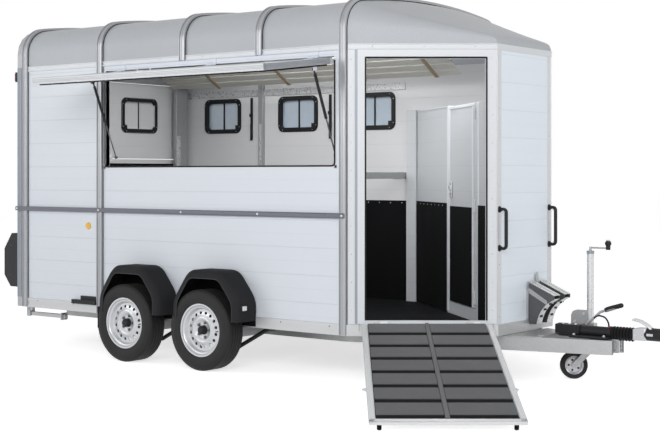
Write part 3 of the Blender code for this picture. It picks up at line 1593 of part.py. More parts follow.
def prop_stands():
    """Rear steadies, folded up along the chassis rails."""
    half = STAND_TUBE / 2
    foot = STAND_LENGTH - 0.03
    for word, side in SIDES:
        origin = (STAND_HINGE_X, side * (HALF - STAND_INSET), STAND_HINGE_HEIGHT)
        hinge = empty(f"prop_stand_{word}_hinge", basis(origin, (1, 0, 0), (0, 0, 1)), ROOT)
        hub = STAND_HUB_WIDTH / 2
        leg = [
            block((-0.02, -half, -half), (STAND_LENGTH, half, half)),
            rod((0, 0, -hub), (0, 0, hub), STAND_HUB),
            block((foot - 0.005, -0.03, -0.035), (foot + 0.005, 0.03, 0.035)),
        ]
        node(f"prop_stand_{word}", leg, "galvanised", hinge)


def main():
    chassis()
    axles()
    wheels()
    mudguards()
    floor_tray()
    sills()
    side_walls()
    nose_walls()
    rear_frame()
    roof()
    tack_wall()
    inner_door()
    tack_door()
    breast_bar()
    side_ramp()
    struts(hatch_flap())
    rear_ramp()
    rear_doors()
    rear_lamps()
    wheel_chocks()
    coupling()
    brake_lever()
    jockey_wheel()
    prop_stands()


main()
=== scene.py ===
"""Looks of the horse trailer: finishes, tread, trim, lamps, inner fittings and studio.

Lengths are metres. Places are given in the trailer's own frame, with X = 0 where the
side walls meet the slanted nose and Y = 0 on the centreline, and go through at().
"""

import json
import math

import bmesh
import bpy
from mathutils import Matrix, Vector


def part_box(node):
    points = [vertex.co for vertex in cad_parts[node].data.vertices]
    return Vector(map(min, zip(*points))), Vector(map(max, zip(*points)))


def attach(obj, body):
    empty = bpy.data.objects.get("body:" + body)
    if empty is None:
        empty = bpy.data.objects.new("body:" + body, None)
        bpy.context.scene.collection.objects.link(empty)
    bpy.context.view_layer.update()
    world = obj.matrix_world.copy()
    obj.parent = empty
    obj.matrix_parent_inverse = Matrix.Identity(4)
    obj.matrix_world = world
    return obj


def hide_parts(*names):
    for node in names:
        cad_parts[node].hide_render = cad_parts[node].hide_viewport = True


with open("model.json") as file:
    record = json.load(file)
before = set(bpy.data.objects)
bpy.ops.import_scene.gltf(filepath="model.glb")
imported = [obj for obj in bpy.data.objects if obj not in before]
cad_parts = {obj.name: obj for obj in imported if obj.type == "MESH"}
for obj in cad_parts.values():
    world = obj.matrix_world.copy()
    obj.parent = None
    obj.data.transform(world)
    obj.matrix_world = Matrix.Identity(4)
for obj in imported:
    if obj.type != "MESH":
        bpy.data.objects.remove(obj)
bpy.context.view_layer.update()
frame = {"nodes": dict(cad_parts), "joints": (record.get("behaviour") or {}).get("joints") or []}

RIGHT = -1
LEFT = 1
SIDES = (("right", RIGHT), ("left", LEFT))

# Sizes read from the frame
_roof_low, _roof_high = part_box("roof_shell")
_, _front_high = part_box("front_wall")
_sill_low, _sill_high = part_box("sill_right")
HALF = (_roof_high.y - _roof_low.y) / 2
MIDDLE_Y = (_roof_high.y + _roof_low.y) / 2
CORNER_X = _roof_high.x + 0.0003
NOSE_LENGTH = _front_high.x - CORNER_X
WALL_TOP = _front_high.z
SILL_BOTTOM, SILL_TOP = _sill_low.z, _sill_high.z
CROWN = _roof_high.z

# Sizes that the frame doesn't give by itself
REAR = -3.58
WALL = 0.040
LAP = 0.058
FRONT_HALF = 0.395
EAVE = 2.515
SHOULDER = 0.21
REAR_FRAME_DEPTH = 0.080
HOOP_FRONTS = (
    # number, front edge, whether it goes down the wall as a post
    (1, -3.435, True),
    (2, -2.500, True),
    (3, -1.567, False),
    (4, -0.783, False),
    (5, 0.0, True),
)
HATCH_REAR, HATCH_FRONT = -2.469, -0.114
HATCH_BOTTOM, HATCH_TOP = 1.545, 2.322
DOORWAY_START, DOORWAY_END = 0.135, 0.980
DOORWAY_BOTTOM, DOORWAY_TOP = 0.442, 2.298
WINDOWS = (-3.03, -2.10, -1.24)
WINDOW_WIDTH, WINDOW_HEIGHT, WINDOW_RADIUS = 0.47, 0.33, 0.06
WINDOW_MIDDLE = 2.035
WINDOW_BORDER = 0.040
KICKBOARD_TOP = 1.25
PLANK = 0.198
PLANK_START = 0.750
RUB_STRIP = 1.184
RUB_STRIP_TALL = 0.037
FLAP_DROOP = 7.0
RAMP_DROP = 11.9
RAMP_LENGTH = 1.8055
RAMP_HALF = 0.456
RAMP_EDGE = 0.040
RAMP_HINGE = 0.328
RAMP_HINGE_HEIGHT = 0.43
TYRE_RADIUS, TYRE_WIDTH = 0.305, 0.190
RIM_RADIUS, RIM_WIDTH = 0.195, 0.150
WHEEL_PLACES = (-1.242, -2.058)
STALL_REAR = REAR + REAR_FRAME_DEPTH + 0.0005
INNER = HALF - WALL
BREAST_BAR_X, BREAST_BAR_HEIGHT = -0.88, 1.467
TACK_WALL_REAR = -0.80
TACK_DOOR_START, TACK_DOOR_END = 1.018, 1.696
TACK_DOOR_BOTTOM, TACK_WALL_TOP = 0.48, 2.01
COUPLING_HEIGHT = 0.37
RAIL_TOP = 0.3263
LEVER_Y = 0.055
JOCKEY_X, JOCKEY_Y = 1.257, 0.215
CRANK_REACH = 0.14

NOSE_ANGLE = math.atan2(HALF - FRONT_HALF, NOSE_LENGTH)
NOSE_FACE = math.hypot(HALF - FRONT_HALF, NOSE_LENGTH)


def at(x, y, z):
    return Vector((x + CORNER_X, y + MIDDLE_Y, z))


BASE = Matrix.Translation(at(0, 0, 0))


def basis(origin, x_axis, y_axis):
    x_axis, y_axis = Vector(x_axis).normalized(), Vector(y_axis).normalized()
    turn = Matrix((x_axis, y_axis, x_axis.cross(y_axis))).transposed()
    return Matrix.Translation(origin) @ turn.to_4x4()


def joint(name):
    """Place and axis of a joint, in the row's frame."""
    for row in frame["joints"]:
        if row["name"] == name:
            return Vector(row.get("pos_m", (0, 0, 0))), Vector(row["axis"])
    raise KeyError(name)


def nose_frame(side):
    """x forward along a slanted nose face, y out of it, z up, at the face's rear foot."""
    turn = Matrix.Rotation(-side * NOSE_ANGLE, 3, "Z")
    return basis(at(0, side * HALF, 0), turn @ Vector((1, 0, 0)), turn @ Vector((0, side, 0)))


def up_frame(side):
    """The nose frame with z upward on both sides."""
    place = nose_frame(side)
    forward, outward = place.to_3x3().col[0], place.to_3x3().col[1]
    turn = Matrix((forward, outward, Vector((0, 0, 1)))).transposed()
    return Matrix.Translation(place.translation) @ turn.to_4x4()


# Shapes


class Shape:
    """Closed forms gathered into one mesh, each laid out in a frame of its own."""

    def __init__(self, place=BASE):
        self.work = bmesh.new()
        self.place = place

    def block(self, low, high):
        low, high = Vector(map(min, low, high)), Vector(map(max, low, high))
        size = Matrix.Diagonal((*(high - low), 1))
        matrix = self.place @ Matrix.Translation((low + high) / 2) @ size
        bmesh.ops.create_cube(self.work, size=1.0, matrix=matrix)

    def rod(self, start, end, radius, sides=20, end_radius=None):
        start, end = Vector(start), Vector(end)
        turn = (end - start).to_track_quat("Z", "Y").to_matrix().to_4x4()
        bmesh.ops.create_cone(
            self.work,
            cap_ends=True,
            segments=sides,
            radius1=radius,
            radius2=radius if end_radius is None else end_radius,
            depth=(end - start).length,
            matrix=self.place @ Matrix.Translation((start + end) / 2) @ turn,
        )

    def ball(self, centre, radius, shape=(1, 1, 1)):
        matrix = self.place @ Matrix.Translation(centre) @ Matrix.Diagonal((*shape, 1))
        bmesh.ops.create_uvsphere(
            self.work, u_segments=20, v_segments=12, radius=radius, matrix=matrix
        )

    def screw(self, centre, out, radius=0.006, height=0.003):
        """A low domed head on a surface whose normal is out."""
        centre, out = Vector(centre), Vector(out).normalized()
        self.rod(centre, centre + out * height * 0.6, radius, 10, radius * 0.92)
        top = centre + out * height * 0.6
        self.rod(top, top + out * height * 0.4, radius * 0.92, 10, radius * 0.45)

    def nut(self, centre, out, radius, height):
        centre, out = Vector(centre), Vector(out).normalized()
        self.rod(centre, centre + out * height, radius, 6)
        self.rod(centre + out * height, centre + out * height * 1.5, radius * 0.5, 10)

    def skin(self, rows, closed=True, capped=True):
        """A surface through sections of as many points each."""
        rings = [[self.work.verts.new(self.place @ Vector(p)) for p in row] for row in rows]
        count = len(rings[0])
        for first, second in zip(rings, rings[1:]):
            for i in range(count if closed else count - 1):
                j = (i + 1) % count
                self.work.faces.new((first[i], first[j], second[j], second[i]))
        if capped:
            self.work.faces.new(rings[0])
            self.work.faces.new(rings[-1][::-1])

    def plate(self, outline, low, high):
        """A flat outline in (x, y) from low to high along z."""
        self.skin([[(x, y, low) for x, y in outline], [(x, y, high) for x, y in outline]])

    def ring(self, outer, inner, low, high):
        """A flat frame between two outlines of as many points."""
        rows = [
            [(x, y, z) for x, y in line]
            for line, z in ((outer, low), (outer, high), (inner, high), (inner, low), (outer, low))
        ]
        self.skin(rows, capped=False)

    def tube(self, points, radius, sides=10):
        """A round wire along a run of points."""
        points = [Vector(point) for point in points]
        ways = [(after - before).normalized() for before, after in zip(points, points[1:])]
        ways = [ways[0]] + [(a + b).normalized() for a, b in zip(ways, ways[1:])] + [ways[-1]]
        side = ways[0].orthogonal().normalized()
        rows = []
        for point, way in zip(points, ways):
            side = (side - way * side.dot(way)).normalized()
            other = way.cross(side)
            rows.append(
                [
                    point + (side * math.cos(a) + other * math.sin(a)) * radius
                    for a in (math.tau * i / sides for i in range(sides))
                ]
            )
        self.skin(rows)

    def turned(self, profile, steps, centre=(0, 0, 0), closed=True):
        """A profile of (radius, along) pairs turned about z through centre."""
        rows = []
        for step in range(steps):
            angle = math.tau * step / steps
            rows.append(
                [
                    Vector(centre) + Vector((r * math.cos(angle), r * math.sin(angle), z))
                    for r, z in profile
                ]
            )
        self.skin(rows + rows[:1], closed=closed, capped=False)

    def mesh(self, angle=35):
        bmesh.ops.remove_doubles(self.work, verts=self.work.verts, dist=1e-6)
        bmesh.ops.dissolve_degenerate(self.work, edges=self.work.edges, dist=1e-7)
        bmesh.ops.recalc_face_normals(self.work, faces=self.work.faces)
        mesh = bpy.data.meshes.new("shape")
        self.work.to_mesh(mesh)
        self.work.free()
        mesh.shade_smooth()
        mesh.set_sharp_from_angle(angle=math.radians(angle))
        return mesh


def show(name, shape, finish, body="trailer", soft=0.0, replaces=()):
    """Adds a shape, or a mesh made before, as a piece that rides on a body."""
    mesh = shape.mesh() if isinstance(shape, Shape) else shape
    piece = bpy.data.objects.new(name, mesh)
    bpy.context.scene.collection.objects.link(piece)
    if not mesh.materials:
        mesh.materials.append(finish)
    if soft:
        bevel = piece.modifiers.new("Soft edges", "BEVEL")
        bevel.width = soft
        bevel.segments = 2
        bevel.limit_method = "ANGLE"
        bevel.angle_limit = math.radians(40)
    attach(piece, body)
    if replaces:
        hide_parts(*replaces)
    return piece


def fillet(points, radius, steps=5):
    """A run of points with its inner corners rounded."""
    points = [Vector(point) for point in points]
    line = [points[0]]
    for before, corner, after in zip(points, points[1:], points[2:]):
        back, forth = (before - corner), (after - corner)
        reach = min(radius, back.length * 0.45, forth.length * 0.45)
        start, end = corner + back.normalized() * reach, corner + forth.normalized() * reach
        for step in range(steps + 1):
            t = step / steps
            line.append(start * (1 - t) ** 2 + corner * 2 * t * (1 - t) + end * t**2)
    return line + [points[-1]]


def rounded_box(width, height, radius, middle=(0.0, 0.0), steps=6):
    points = []
    for quarter, (across, up) in enumerate(((1, 1), (-1, 1), (-1, -1), (1, -1))):
        for step in range(steps + 1):
            angle = math.radians(90 * (quarter + step / steps))
            points.append(
                (
                    middle[0] + across * (width / 2 - radius) + radius * math.cos(angle),
                    middle[1] + up * (height / 2 - radius) + radius * math.sin(angle),
                )
            )
    return points


def arch(half, eave, shoulder, crown, bottom, shoulder_steps=12, crown_steps=10):
    """Roof line in (y, z), right side to left: upright, shoulder, crown and back."""
    across, rise = half - shoulder, crown - eave
    crown_radius = (across**2 + rise**2 - shoulder**2) / (2 * (rise - shoulder))
    lean = math.asin(across / (crown_radius - shoulder))
    line = [(-half, bottom)]
    for step in range(shoulder_steps + 1):
        angle = (math.pi / 2 - lean) * step / shoulder_steps
        line.append((-across - shoulder * math.cos(angle), eave + shoulder * math.sin(angle)))
    for step in range(1, crown_steps + 1):
        angle = lean * (1 - step / crown_steps)
        line.append(
            (-crown_radius * math.sin(angle), crown + crown_radius * (math.cos(angle) - 1))
        )
    return line + [(-y, z) for y, z in line[-2::-1]]


def offset_line(line, distance):
    """An open run of (y, z) points moved out of the roof."""
    corners = [Vector(corner) for corner in line]
    runs = [(after - before).normalized() for before, after in zip(corners, corners[1:])]
    normals = [Vector((-run.y, run.x)) for run in runs]
    moved = []
    for corner, first, second in zip(corners, normals[:1] + normals, normals + normals[-1:]):
        middle = (first + second).normalized()
        moved.append(tuple(corner + middle * distance / max(middle.dot(first), 0.3)))
    return moved


# Finishes


GLOSS = 0.4


class Wire:
    """A value in a material: arithmetic on it adds Math nodes."""

    def __init__(self, finish, socket):
        self.finish = finish
        self.socket = socket

    def __add__(self, other):
        return self.finish.math("ADD", self, other)

    def __sub__(self, other):
        return self.finish.math("SUBTRACT", self, other)

    def __rsub__(self, other):
        return self.finish.math("SUBTRACT", other, self)

    def __mul__(self, other):
        return self.finish.math("MULTIPLY", self, other)

    def __truediv__(self, other):
        return self.finish.math("DIVIDE", self, other)

    def __lt__(self, other):
        return self.finish.math("LESS_THAN", self, other)

    def __gt__(self, other):
        return self.finish.math("GREATER_THAN", self, other)

    __radd__ = __add__
    __rmul__ = __mul__


class Nodes:
    """Adds nodes and links to one node tree."""

    def __init__(self, tree):
        self.tree = tree

    def feed(self, socket, value):
        if isinstance(value, Wire):
            value = value.socket
        if isinstance(value, bpy.types.NodeSocket):
            self.tree.links.new(value, socket)
        else:
            socket.default_value = value

    def node(self, kind, settings=None, inputs=None):
        made = self.tree.nodes.new(kind)
        for key, value in (settings or {}).items():
            setattr(made, key, value)
        for key, value in (inputs or {}).items():
            self.feed(made.inputs[key], value)
        return made

    def math(self, operation, *values):
        settings = {"operation": operation}
        return Wire(self, self.node("ShaderNodeMath", settings, dict(enumerate(values))).outputs[0])

    def seen(self):
        """1 for rays from the camera, gloss and glass, 0 for the light that falls on things."""
        path = self.node("ShaderNodeLightPath").outputs
        seen = self.math("MAXIMUM", path["Is Camera Ray"], path["Is Glossy Ray"])
        return self.math("MAXIMUM", seen, path["Is Transmission Ray"])


class Finish(Nodes):
    """One material, built round its Principled shader."""

    def __init__(self, name, colour, roughness, metallic=0.0, **more):
        self.material = bpy.data.materials.new(name)
        self.material.use_nodes = True
        super().__init__(self.material.node_tree)
        self.shader = self.tree.nodes["Principled BSDF"]
        self.colour = (*colour, 1.0)
        self.put("Base Color", self.colour)
        self.put("Roughness", roughness)
        self.put("Metallic", metallic)
        self.put("Specular IOR Level", GLOSS if metallic == 0 else 0.5)
        for key, value in more.items():
            self.put(key.replace("_", " "), value)
        self.places = self.node("ShaderNodeTexCoord").outputs["Object"]

    def put(self, socket, value):
        self.feed(self.shader.inputs[socket], value)

    def axis(self, letter):
        return Wire(self, self.node("ShaderNodeSeparateXYZ", None, {0: self.places}).outputs[letter])

    def noise(self, scale, detail=3.0, stretch=(1, 1, 1)):
        spread = self.node(
            "ShaderNodeVectorMath", {"operation": "MULTIPLY"}, {0: self.places, 1: stretch}
        )
        inputs = {"Vector": spread.outputs[0], "Scale": scale, "Detail": detail}
        return Wire(self, self.node("ShaderNodeTexNoise", None, inputs).outputs[0])

    def cells(self, scale):
        inputs = {"Vector": self.places, "Scale": scale}
        made = self.node("ShaderNodeTexVoronoi", None, inputs)
        split = self.node("ShaderNodeSeparateXYZ", None, {0: made.outputs["Color"]})
        return Wire(self, split.outputs["X"])

    def line(self, place, pitch, share):
        """1 in a band of this share of each pitch, centred on its start, 0 elsewhere."""
        part = self.math("FRACT", place / pitch + 0.5) - 0.5
        return self.math("ABSOLUTE", part) < share / 2

    def blend(self, share, colour):
        """The base colour going over to another one by share."""
        settings = {"data_type": "RGBA"}
        mixed = self.node("ShaderNodeMix", settings, {0: share, 6: self.colour_so_far(), 7: (*colour, 1.0)})
        self.put("Base Color", mixed.outputs[2])

    def colour_so_far(self):
        links = self.shader.inputs["Base Color"].links
        return links[0].from_socket if links else self.colour

    def bump(self, height, depth, strength=1.0):
        inputs = {"Height": height, "Distance": depth, "Strength": strength}
        self.put("Normal", self.node("ShaderNodeBump", None, inputs).outputs[0])


def panel(name, colour, along="Z", start=PLANK_START, dark=0.84, roughness=0.32, inside=None):
    """Laminated boards: a groove at each joint, a fainter line midway, faint handling marks."""
    finish = Finish(name, colour, roughness)
    if inside:
        across = finish.math("ABSOLUTE", finish.axis("Y") - MIDDLE_Y) < HALF - 0.03
        finish.blend(across * (finish.axis("X") > CORNER_X + REAR + 0.02), inside)
    place = finish.axis(along) - start
    groove = finish.line(place, PLANK, 0.018)
    middle = finish.line(place + PLANK / 2, PLANK, 0.012)
    smear = finish.noise(3.0, 4.0, (0.6, 0.6, 2.0))
    finish.blend((smear - 0.35) * 0.22, [c * 0.90 for c in colour])
    finish.blend(groove * 0.75 + middle * 0.30, [c * dark for c in colour])
    finish.put("Roughness", roughness + (finish.noise(18.0) - 0.5) * 0.10)
    finish.bump(1 - groove - middle * 0.4, 0.0015, 0.6)
    return finish.material


def metal(name, colour, roughness, metallic, streak=(1, 1, 1), depth=0.0002):
    """Extruded or drawn metal with fine streaks along its length."""
    finish = Finish(name, colour, roughness, metallic)
    fine = finish.noise(120.0, 2.0, streak)
    broad = finish.noise(5.0, 3.0)
    finish.blend((fine - 0.4) * 0.35, [c * 0.80 for c in colour])
    finish.blend((broad - 0.45) * 0.40, [min(1.0, c * 1.12) for c in colour])
    finish.put("Roughness", roughness + (broad - 0.5) * 0.16)
    finish.bump(fine, depth, 0.3)
    return finish.material


def zinc(name, colour, roughness=0.42, metallic=0.55):
    """Hot-dip galvanised steel: a frosty mottle of crystals with duller runs."""
    finish = Finish(name, colour, roughness, metallic)
    spangle = finish.cells(85.0)
    run = finish.noise(7.0, 4.0, (1, 1, 0.4))
    finish.blend(spangle * 0.22, [c * 0.72 for c in colour])
    finish.blend((run - 0.42) * 0.6, [min(1.0, c * 1.16) for c in colour])
    finish.put("Roughness", roughness + (spangle - 0.5) * 0.14)
    finish.bump(finish.noise(240.0, 2.0), 0.0002, 0.25)
    return finish.material


def grain(name, colour, roughness, scale=420.0, depth=0.0004, wear=0.25, lift=1.9, gloss=0.22):
    """Moulded plastic or rubber: a fine pebble and paler scuffs."""
    finish = Finish(name, colour, roughness)
    finish.put("Specular IOR Level", gloss)
    pebble = finish.noise(scale, 2.0)
    scuff = finish.noise(6.0, 5.0)
    finish.blend((scuff - 0.45) * wear, [min(1.0, c * lift + 0.02) for c in colour])
    finish.put("Roughness", roughness + (scuff - 0.5) * 0.18)
    finish.bump(pebble, depth, 0.5)
    return finish.material


def speckle(name, colour):
    """Gel-coated polyester with a granular texture."""
    finish = Finish(name, colour, 0.42)
    grit = finish.noise(230.0, 3.0)
    cloud = finish.noise(2.2, 4.0)
    finish.blend((grit - 0.42) * 1.6, [c * 0.66 for c in colour])
    finish.blend((cloud - 0.45) * 0.5, [min(1.0, c * 1.15) for c in colour])
    finish.put("Roughness", 0.42 + (grit - 0.5) * 0.25)
    finish.bump(grit, 0.0012, 0.6)
    return finish.material


def ribbed(name, colour, pitch, way):
    """Fine ribs that run across the ramp's length."""
    finish = Finish(name, colour, 0.62)
    finish.put("Specular IOR Level", 0.2)
    across = finish.node("ShaderNodeVectorMath", {"operation": "DOT_PRODUCT"}, {0: finish.places, 1: way})
    place = Wire(finish, across.outputs["Value"])
    rib = finish.math("SINE", place * (math.tau / pitch)) * 0.5 + 0.5
    dust = finish.noise(9.0, 5.0)
    finish.blend(rib * 0.45, [c * 0.45 for c in colour])
    finish.blend((dust - 0.45) * 0.55, [min(1.0, c * 1.5 + 0.01) for c in colour])
    finish.put("Roughness", 0.60 + (dust - 0.5) * 0.25)
    finish.bump(rib, 0.0018, 0.8)
    return finish.material


def lens(name, colour):
    """A ribbed coloured lens."""
    finish = Finish(name, colour, 0.12, **{"Coat Weight": 0.6})
    rib = finish.math("SINE", finish.axis("Z") * 1500.0) * 0.5 + 0.5
    finish.blend(rib * 0.25, [c * 0.6 for c in colour])
    finish.put("Roughness", 0.10 + rib * 0.08)
    finish.bump(rib, 0.0004, 0.5)
    return finish.material


def glass(name, colour, alpha):
    """Tinted acrylic pane, a little dusty."""
    finish = Finish(name, colour, 0.06, **{"Coat Weight": 0.5})
    dust = finish.noise(14.0, 4.0)
    finish.blend((dust - 0.4) * 0.4, [min(1.0, c * 1.15) for c in colour])
    finish.put("Roughness", 0.05 + dust * 0.10)
    finish.put("Alpha", alpha + (dust - 0.5) * 0.08)
    return finish.material


def finishes():
    """Every finish of the trailer, by its plain name."""
    ramp_axis = joint("side_ramp_hinge")[1]
    ramp_way = Matrix.Rotation(math.radians(90 + RAMP_DROP), 3, ramp_axis) @ Vector((0, 0, 1))
    return {
        "wall": panel("wall_boards", (0.72, 0.76, 0.82), inside=(0.70, 0.702, 0.706)),
        "front": panel("front_boards", (0.86, 0.93, 1.0)),
        "inner": panel("inner_boards", (0.58, 0.60, 0.62), roughness=0.5),
        "flap": panel("flap_boards", (0.72, 0.76, 0.82), along="Y", start=-0.52),
        # the flap's inner lining, coloured dark grey as painted shade on the open flap's downward face
        "lining": metal("flap_lining_painted_shade", (0.15, 0.152, 0.158), 0.45, 0.1, (0.1, 1, 1)),
        "white": metal("white_strip", (0.74, 0.76, 0.79), 0.34, 0.0, (0.2, 0.2, 1)),
        "aluminium": metal("aluminium_profile", (0.56, 0.57, 0.58), 0.36, 0.35, (1, 1, 0.05)),
        "ramp": metal("ramp_profile", (0.66, 0.67, 0.68), 0.40, 0.25, (1, 1, 1)),
        "hoop": metal("aluminium_hoop", (0.40, 0.41, 0.43), 0.32, 0.40, (1, 0.05, 0.05)),
        "grey_edge": metal("grey_edge", (0.30, 0.33, 0.38), 0.4, 0.2, (1, 1, 0.1)),
        "strip": grain("grey_strip", (0.115, 0.118, 0.122), 0.5, wear=0.3, lift=1.4),
        "zinc": zinc("galvanised_steel", (0.44, 0.445, 0.45)),
        "bright": zinc("bright_zinc", (0.66, 0.67, 0.68), 0.32, 0.45),
        "roof": speckle("roof_polyester", (0.50, 0.52, 0.55)),
        "rubber": grain("black_rubber", (0.007, 0.0075, 0.008), 0.75, wear=0.10, lift=1.5, gloss=0.06),
        "seal": grain("black_seal", (0.007, 0.007, 0.008), 0.60, wear=0.10),
        "plastic": grain("black_plastic", (0.014, 0.0145, 0.016), 0.46, wear=0.30),
        "lamp_grey": grain("lamp_housing", (0.022, 0.023, 0.026), 0.40, wear=0.25),
        "guard": grain("mudguard_plastic", (0.026, 0.0265, 0.029), 0.62, wear=0.25, lift=1.7, gloss=0.06),
        "guard_lip": grain("mudguard_lip", (0.05, 0.051, 0.054), 0.55, wear=0.25, lift=1.4, gloss=0.2),
        "rub": grain("rub_strip", (0.14, 0.145, 0.18), 0.30, wear=0.25, lift=1.4, gloss=0.55),
        "dull": zinc("dull_zinc", (0.11, 0.11, 0.115), 0.5, 0.5),
        "tyre": grain("tyre_rubber", (0.013, 0.013, 0.014), 0.66, 260.0, 0.0005, 0.35, 1.9, 0.3),
        "silver": metal("silver_paint", (0.56, 0.57, 0.59), 0.30, 0.45, (1, 1, 1), 0.0001),
        "drum": zinc("brake_drum", (0.16, 0.16, 0.17), 0.6, 0.6),
        "mat": ribbed("ramp_mat", (0.14, 0.142, 0.148), 0.0090, ramp_way),
        "amber": lens("amber_lens", (0.75, 0.20, 0.02)),
        "orange": lens("orange_lens", (0.85, 0.48, 0.04)),
        "red": lens("red_lens", (0.50, 0.015, 0.012)),
        "clear": lens("clear_lens", (0.80, 0.82, 0.84)),
        "glass": glass("window_pane", (0.50, 0.60, 0.70), 0.72),
        "cream": grain("cream_plastic", (0.72, 0.70, 0.64), 0.45, wear=0.15, lift=1.1),
        "tan": grain("tan_bracket", (0.42, 0.33, 0.22), 0.5, wear=0.2, lift=1.3),
        "webbing": ribbed("black_webbing", (0.03, 0.03, 0.032), 0.004, (0, 0, 1)),
    }


F = finishes()


def dress(names, finish):
    """Gives solids that stay a finish of their own."""
    for name in names:
        data = frame["nodes"][name].data
        if not data.materials:
            data.materials.append(finish)
        for index in range(len(data.materials)):
            data.materials[index] = finish


def dress_solids():
    dress(["side_wall_right", "rear_ramp", "rear_door_right", "rear_door_left"], F["wall"])
    dress(["side_wall_left", "tack_door"], F["wall"])
    dress(["front_wall"], F["front"])
    dress(["tack_wall", "inner_door"], F["inner"])
    dress(["hatch_flap"], F["flap"])
    dress(["sill_right", "sill_left", "sill_nose"], F["aluminium"])
    dress(["rear_frame"], F["hoop"])
    dress(["doorway_frame_right", "tack_door_frame_left"], F["white"])
    dress(["chassis_rail_right", "chassis_rail_left", "axle_front", "axle_rear"], F["zinc"])
    dress(["breast_bar", "jockey_tube", "jockey_fork", "brake_lever"], F["zinc"])
    dress(["prop_stand_right", "prop_stand_left"], F["zinc"])
    dress(["floor_tray"], F["rubber"])


# Roof


def roof_shell():
    shape = Shape()
    line = arch(HALF, EAVE, SHOULDER, CROWN, WALL_TOP + 0.0003)
    inner = offset_line(line, -0.015)
    rows = []
    for x in (REAR + REAR_FRAME_DEPTH + 0.0003, -0.0003):
        rows.append([(x, y, z) for y, z in line + inner[::-1]])
    shape.skin(rows)
    show("roof_skin", shape, F["roof"], replaces=("roof_shell",))


def roof_hoops():
    """Aluminium channels over the roof: a strip with two raised edges, and its dark lines."""
    for number, front, has_posts in HOOP_FRONTS:
        bottom = SILL_BOTTOM + 0.005 if has_posts else WALL_TOP - 0.035
        line = arch(HALF, EAVE, SHOULDER, CROWN, bottom)
        rear = front - LAP
        section = (
            # place along X, height above the roof
            (rear, 0.0003),
            (rear, 0.024),
            (rear + 0.002, 0.026),
            (rear + 0.007, 0.026),
            (rear + 0.008, 0.018),
            (rear + 0.024, 0.018),
            (rear + 0.026, 0.015),
            (rear + 0.032, 0.015),
            (rear + 0.034, 0.018),
            (front - 0.008, 0.018),
            (front - 0.007, 0.026),
            (front - 0.002, 0.026),
            (front, 0.024),
            (front, 0.0003),
        )
        rails = [[(x, y, z) for y, z in offset_line(line, out)] for x, out in section]
        shape = Shape()
        shape.skin(list(zip(*rails)))
        name = f"roof_hoop_{number}"
        show(f"hoop_channel_{number}", shape, F["hoop"], replaces=(name,))
        seal = Shape()
        for x in (rear - 0.004, front + 0.001):
            edge = [(x, y, z) for y, z in offset_line(line, 0.004)]
            seal.tube(edge, 0.003, 6)
        show(f"hoop_seal_{number}", seal, F["seal"])


NOSE_SECTIONS = (
    # share of the nose's length, drop of the eave, shoulder radius, drop of the crown
    (0.0, 0.0, 0.21, 0.0),
    (0.12, 0.003, 0.178, 0.022),
    (0.24, 0.008, 0.148, 0.055),
    (0.35, 0.015, 0.120, 0.095),
    (0.53, 0.028, 0.088, 0.158),
    (0.70, 0.045, 0.060, 0.215),
    (0.85, 0.060, 0.040, 0.264),
    (0.94, 0.071, 0.026, 0.296),
    (0.98, 0.080, 0.018, 0.316),
    (1.0, 0.100, 0.010, 0.350),
)


def roof_nose():
    """Moulded hood from the last hoop down to the front wall."""
    outer, inner = [], []
    for share, eave_drop, shoulder, crown_drop in NOSE_SECTIONS:
        half = HALF - (HALF - FRONT_HALF) * share
        line = arch(half, EAVE - eave_drop, shoulder, CROWN - crown_drop, WALL_TOP + 0.0003)
        x = max(0.0003, NOSE_LENGTH * share)
        outer.append([(x, y, z) for y, z in line])
        inner.append([(x - 0.012 * share, y, z) for y, z in offset_line(line, -0.010)])
    shape = Shape()
    shape.skin(outer, closed=False, capped=False)
    shape.skin(inner, closed=False, capped=False)
    shape.work.faces.new([shape.work.verts.new(BASE @ Vector(p)) for p in outer[-1]])
    rim = [[p, q] for p, q in zip(outer[0], inner[0])]
    shape.skin(rim, closed=False, capped=False)
    for end in (0, -1):
        rail = [[a[end], b[end]] for a, b in zip(outer, inner)]
        shape.skin(rail, closed=False, capped=False)
    show("nose_hood", shape, F["roof"], replaces=("roof_nose",))


def cant_rails():
    """White double rail under the roof's edge, with its screws."""
    low, high = WALL_TOP - 0.040, WALL_TOP + 0.004
    screws = Shape()
    for word, side in SIDES:
        shape = Shape()
        out = side * HALF
        for x0, x1 in zip((-3.435, -2.5, -1.567, -0.783), (-2.558, -1.625, -0.841, -0.058)):
            shape.block((x0, out, low), (x1, out + side * 0.006, high))
            for z in (low + 0.006, high - 0.006):
                shape.rod((x0, out + side * 0.006, z), (x1, out + side * 0.006, z), 0.005, 10)
            for i in range(2):
                x = x0 + (x1 - x0) * (i + 0.5) / 2
                screws.screw((x, out + side * 0.006, low + 0.023), (0, side, 0), 0.005)
        show("cant_rail_" + word, shape, F["white"])
        rail = Shape(up_frame(side))
        rail.block((0.004, 0.0, low), (NOSE_FACE, 0.006, high))
        for z in (low + 0.006, high - 0.006):
            rail.rod((0.004, 0.006, z), (NOSE_FACE, 0.006, z), 0.005, 10)
        show("nose_rail_" + word, rail, F["white"])
        studs = Shape(up_frame(side))
        for x in (0.177, 0.542, 0.905):
            studs.screw((x, 0.006, (low + high) / 2), (0, 1, 0), 0.006)
        show("nose_rail_screws_" + word, studs, F["bright"])
    front = Shape()
    front.block((NOSE_LENGTH, -FRONT_HALF, low), (NOSE_LENGTH + 0.006, FRONT_HALF, high))
    show("front_rail", front, F["white"])
    show("cant_rail_screws", screws, F["bright"])


# Side walls


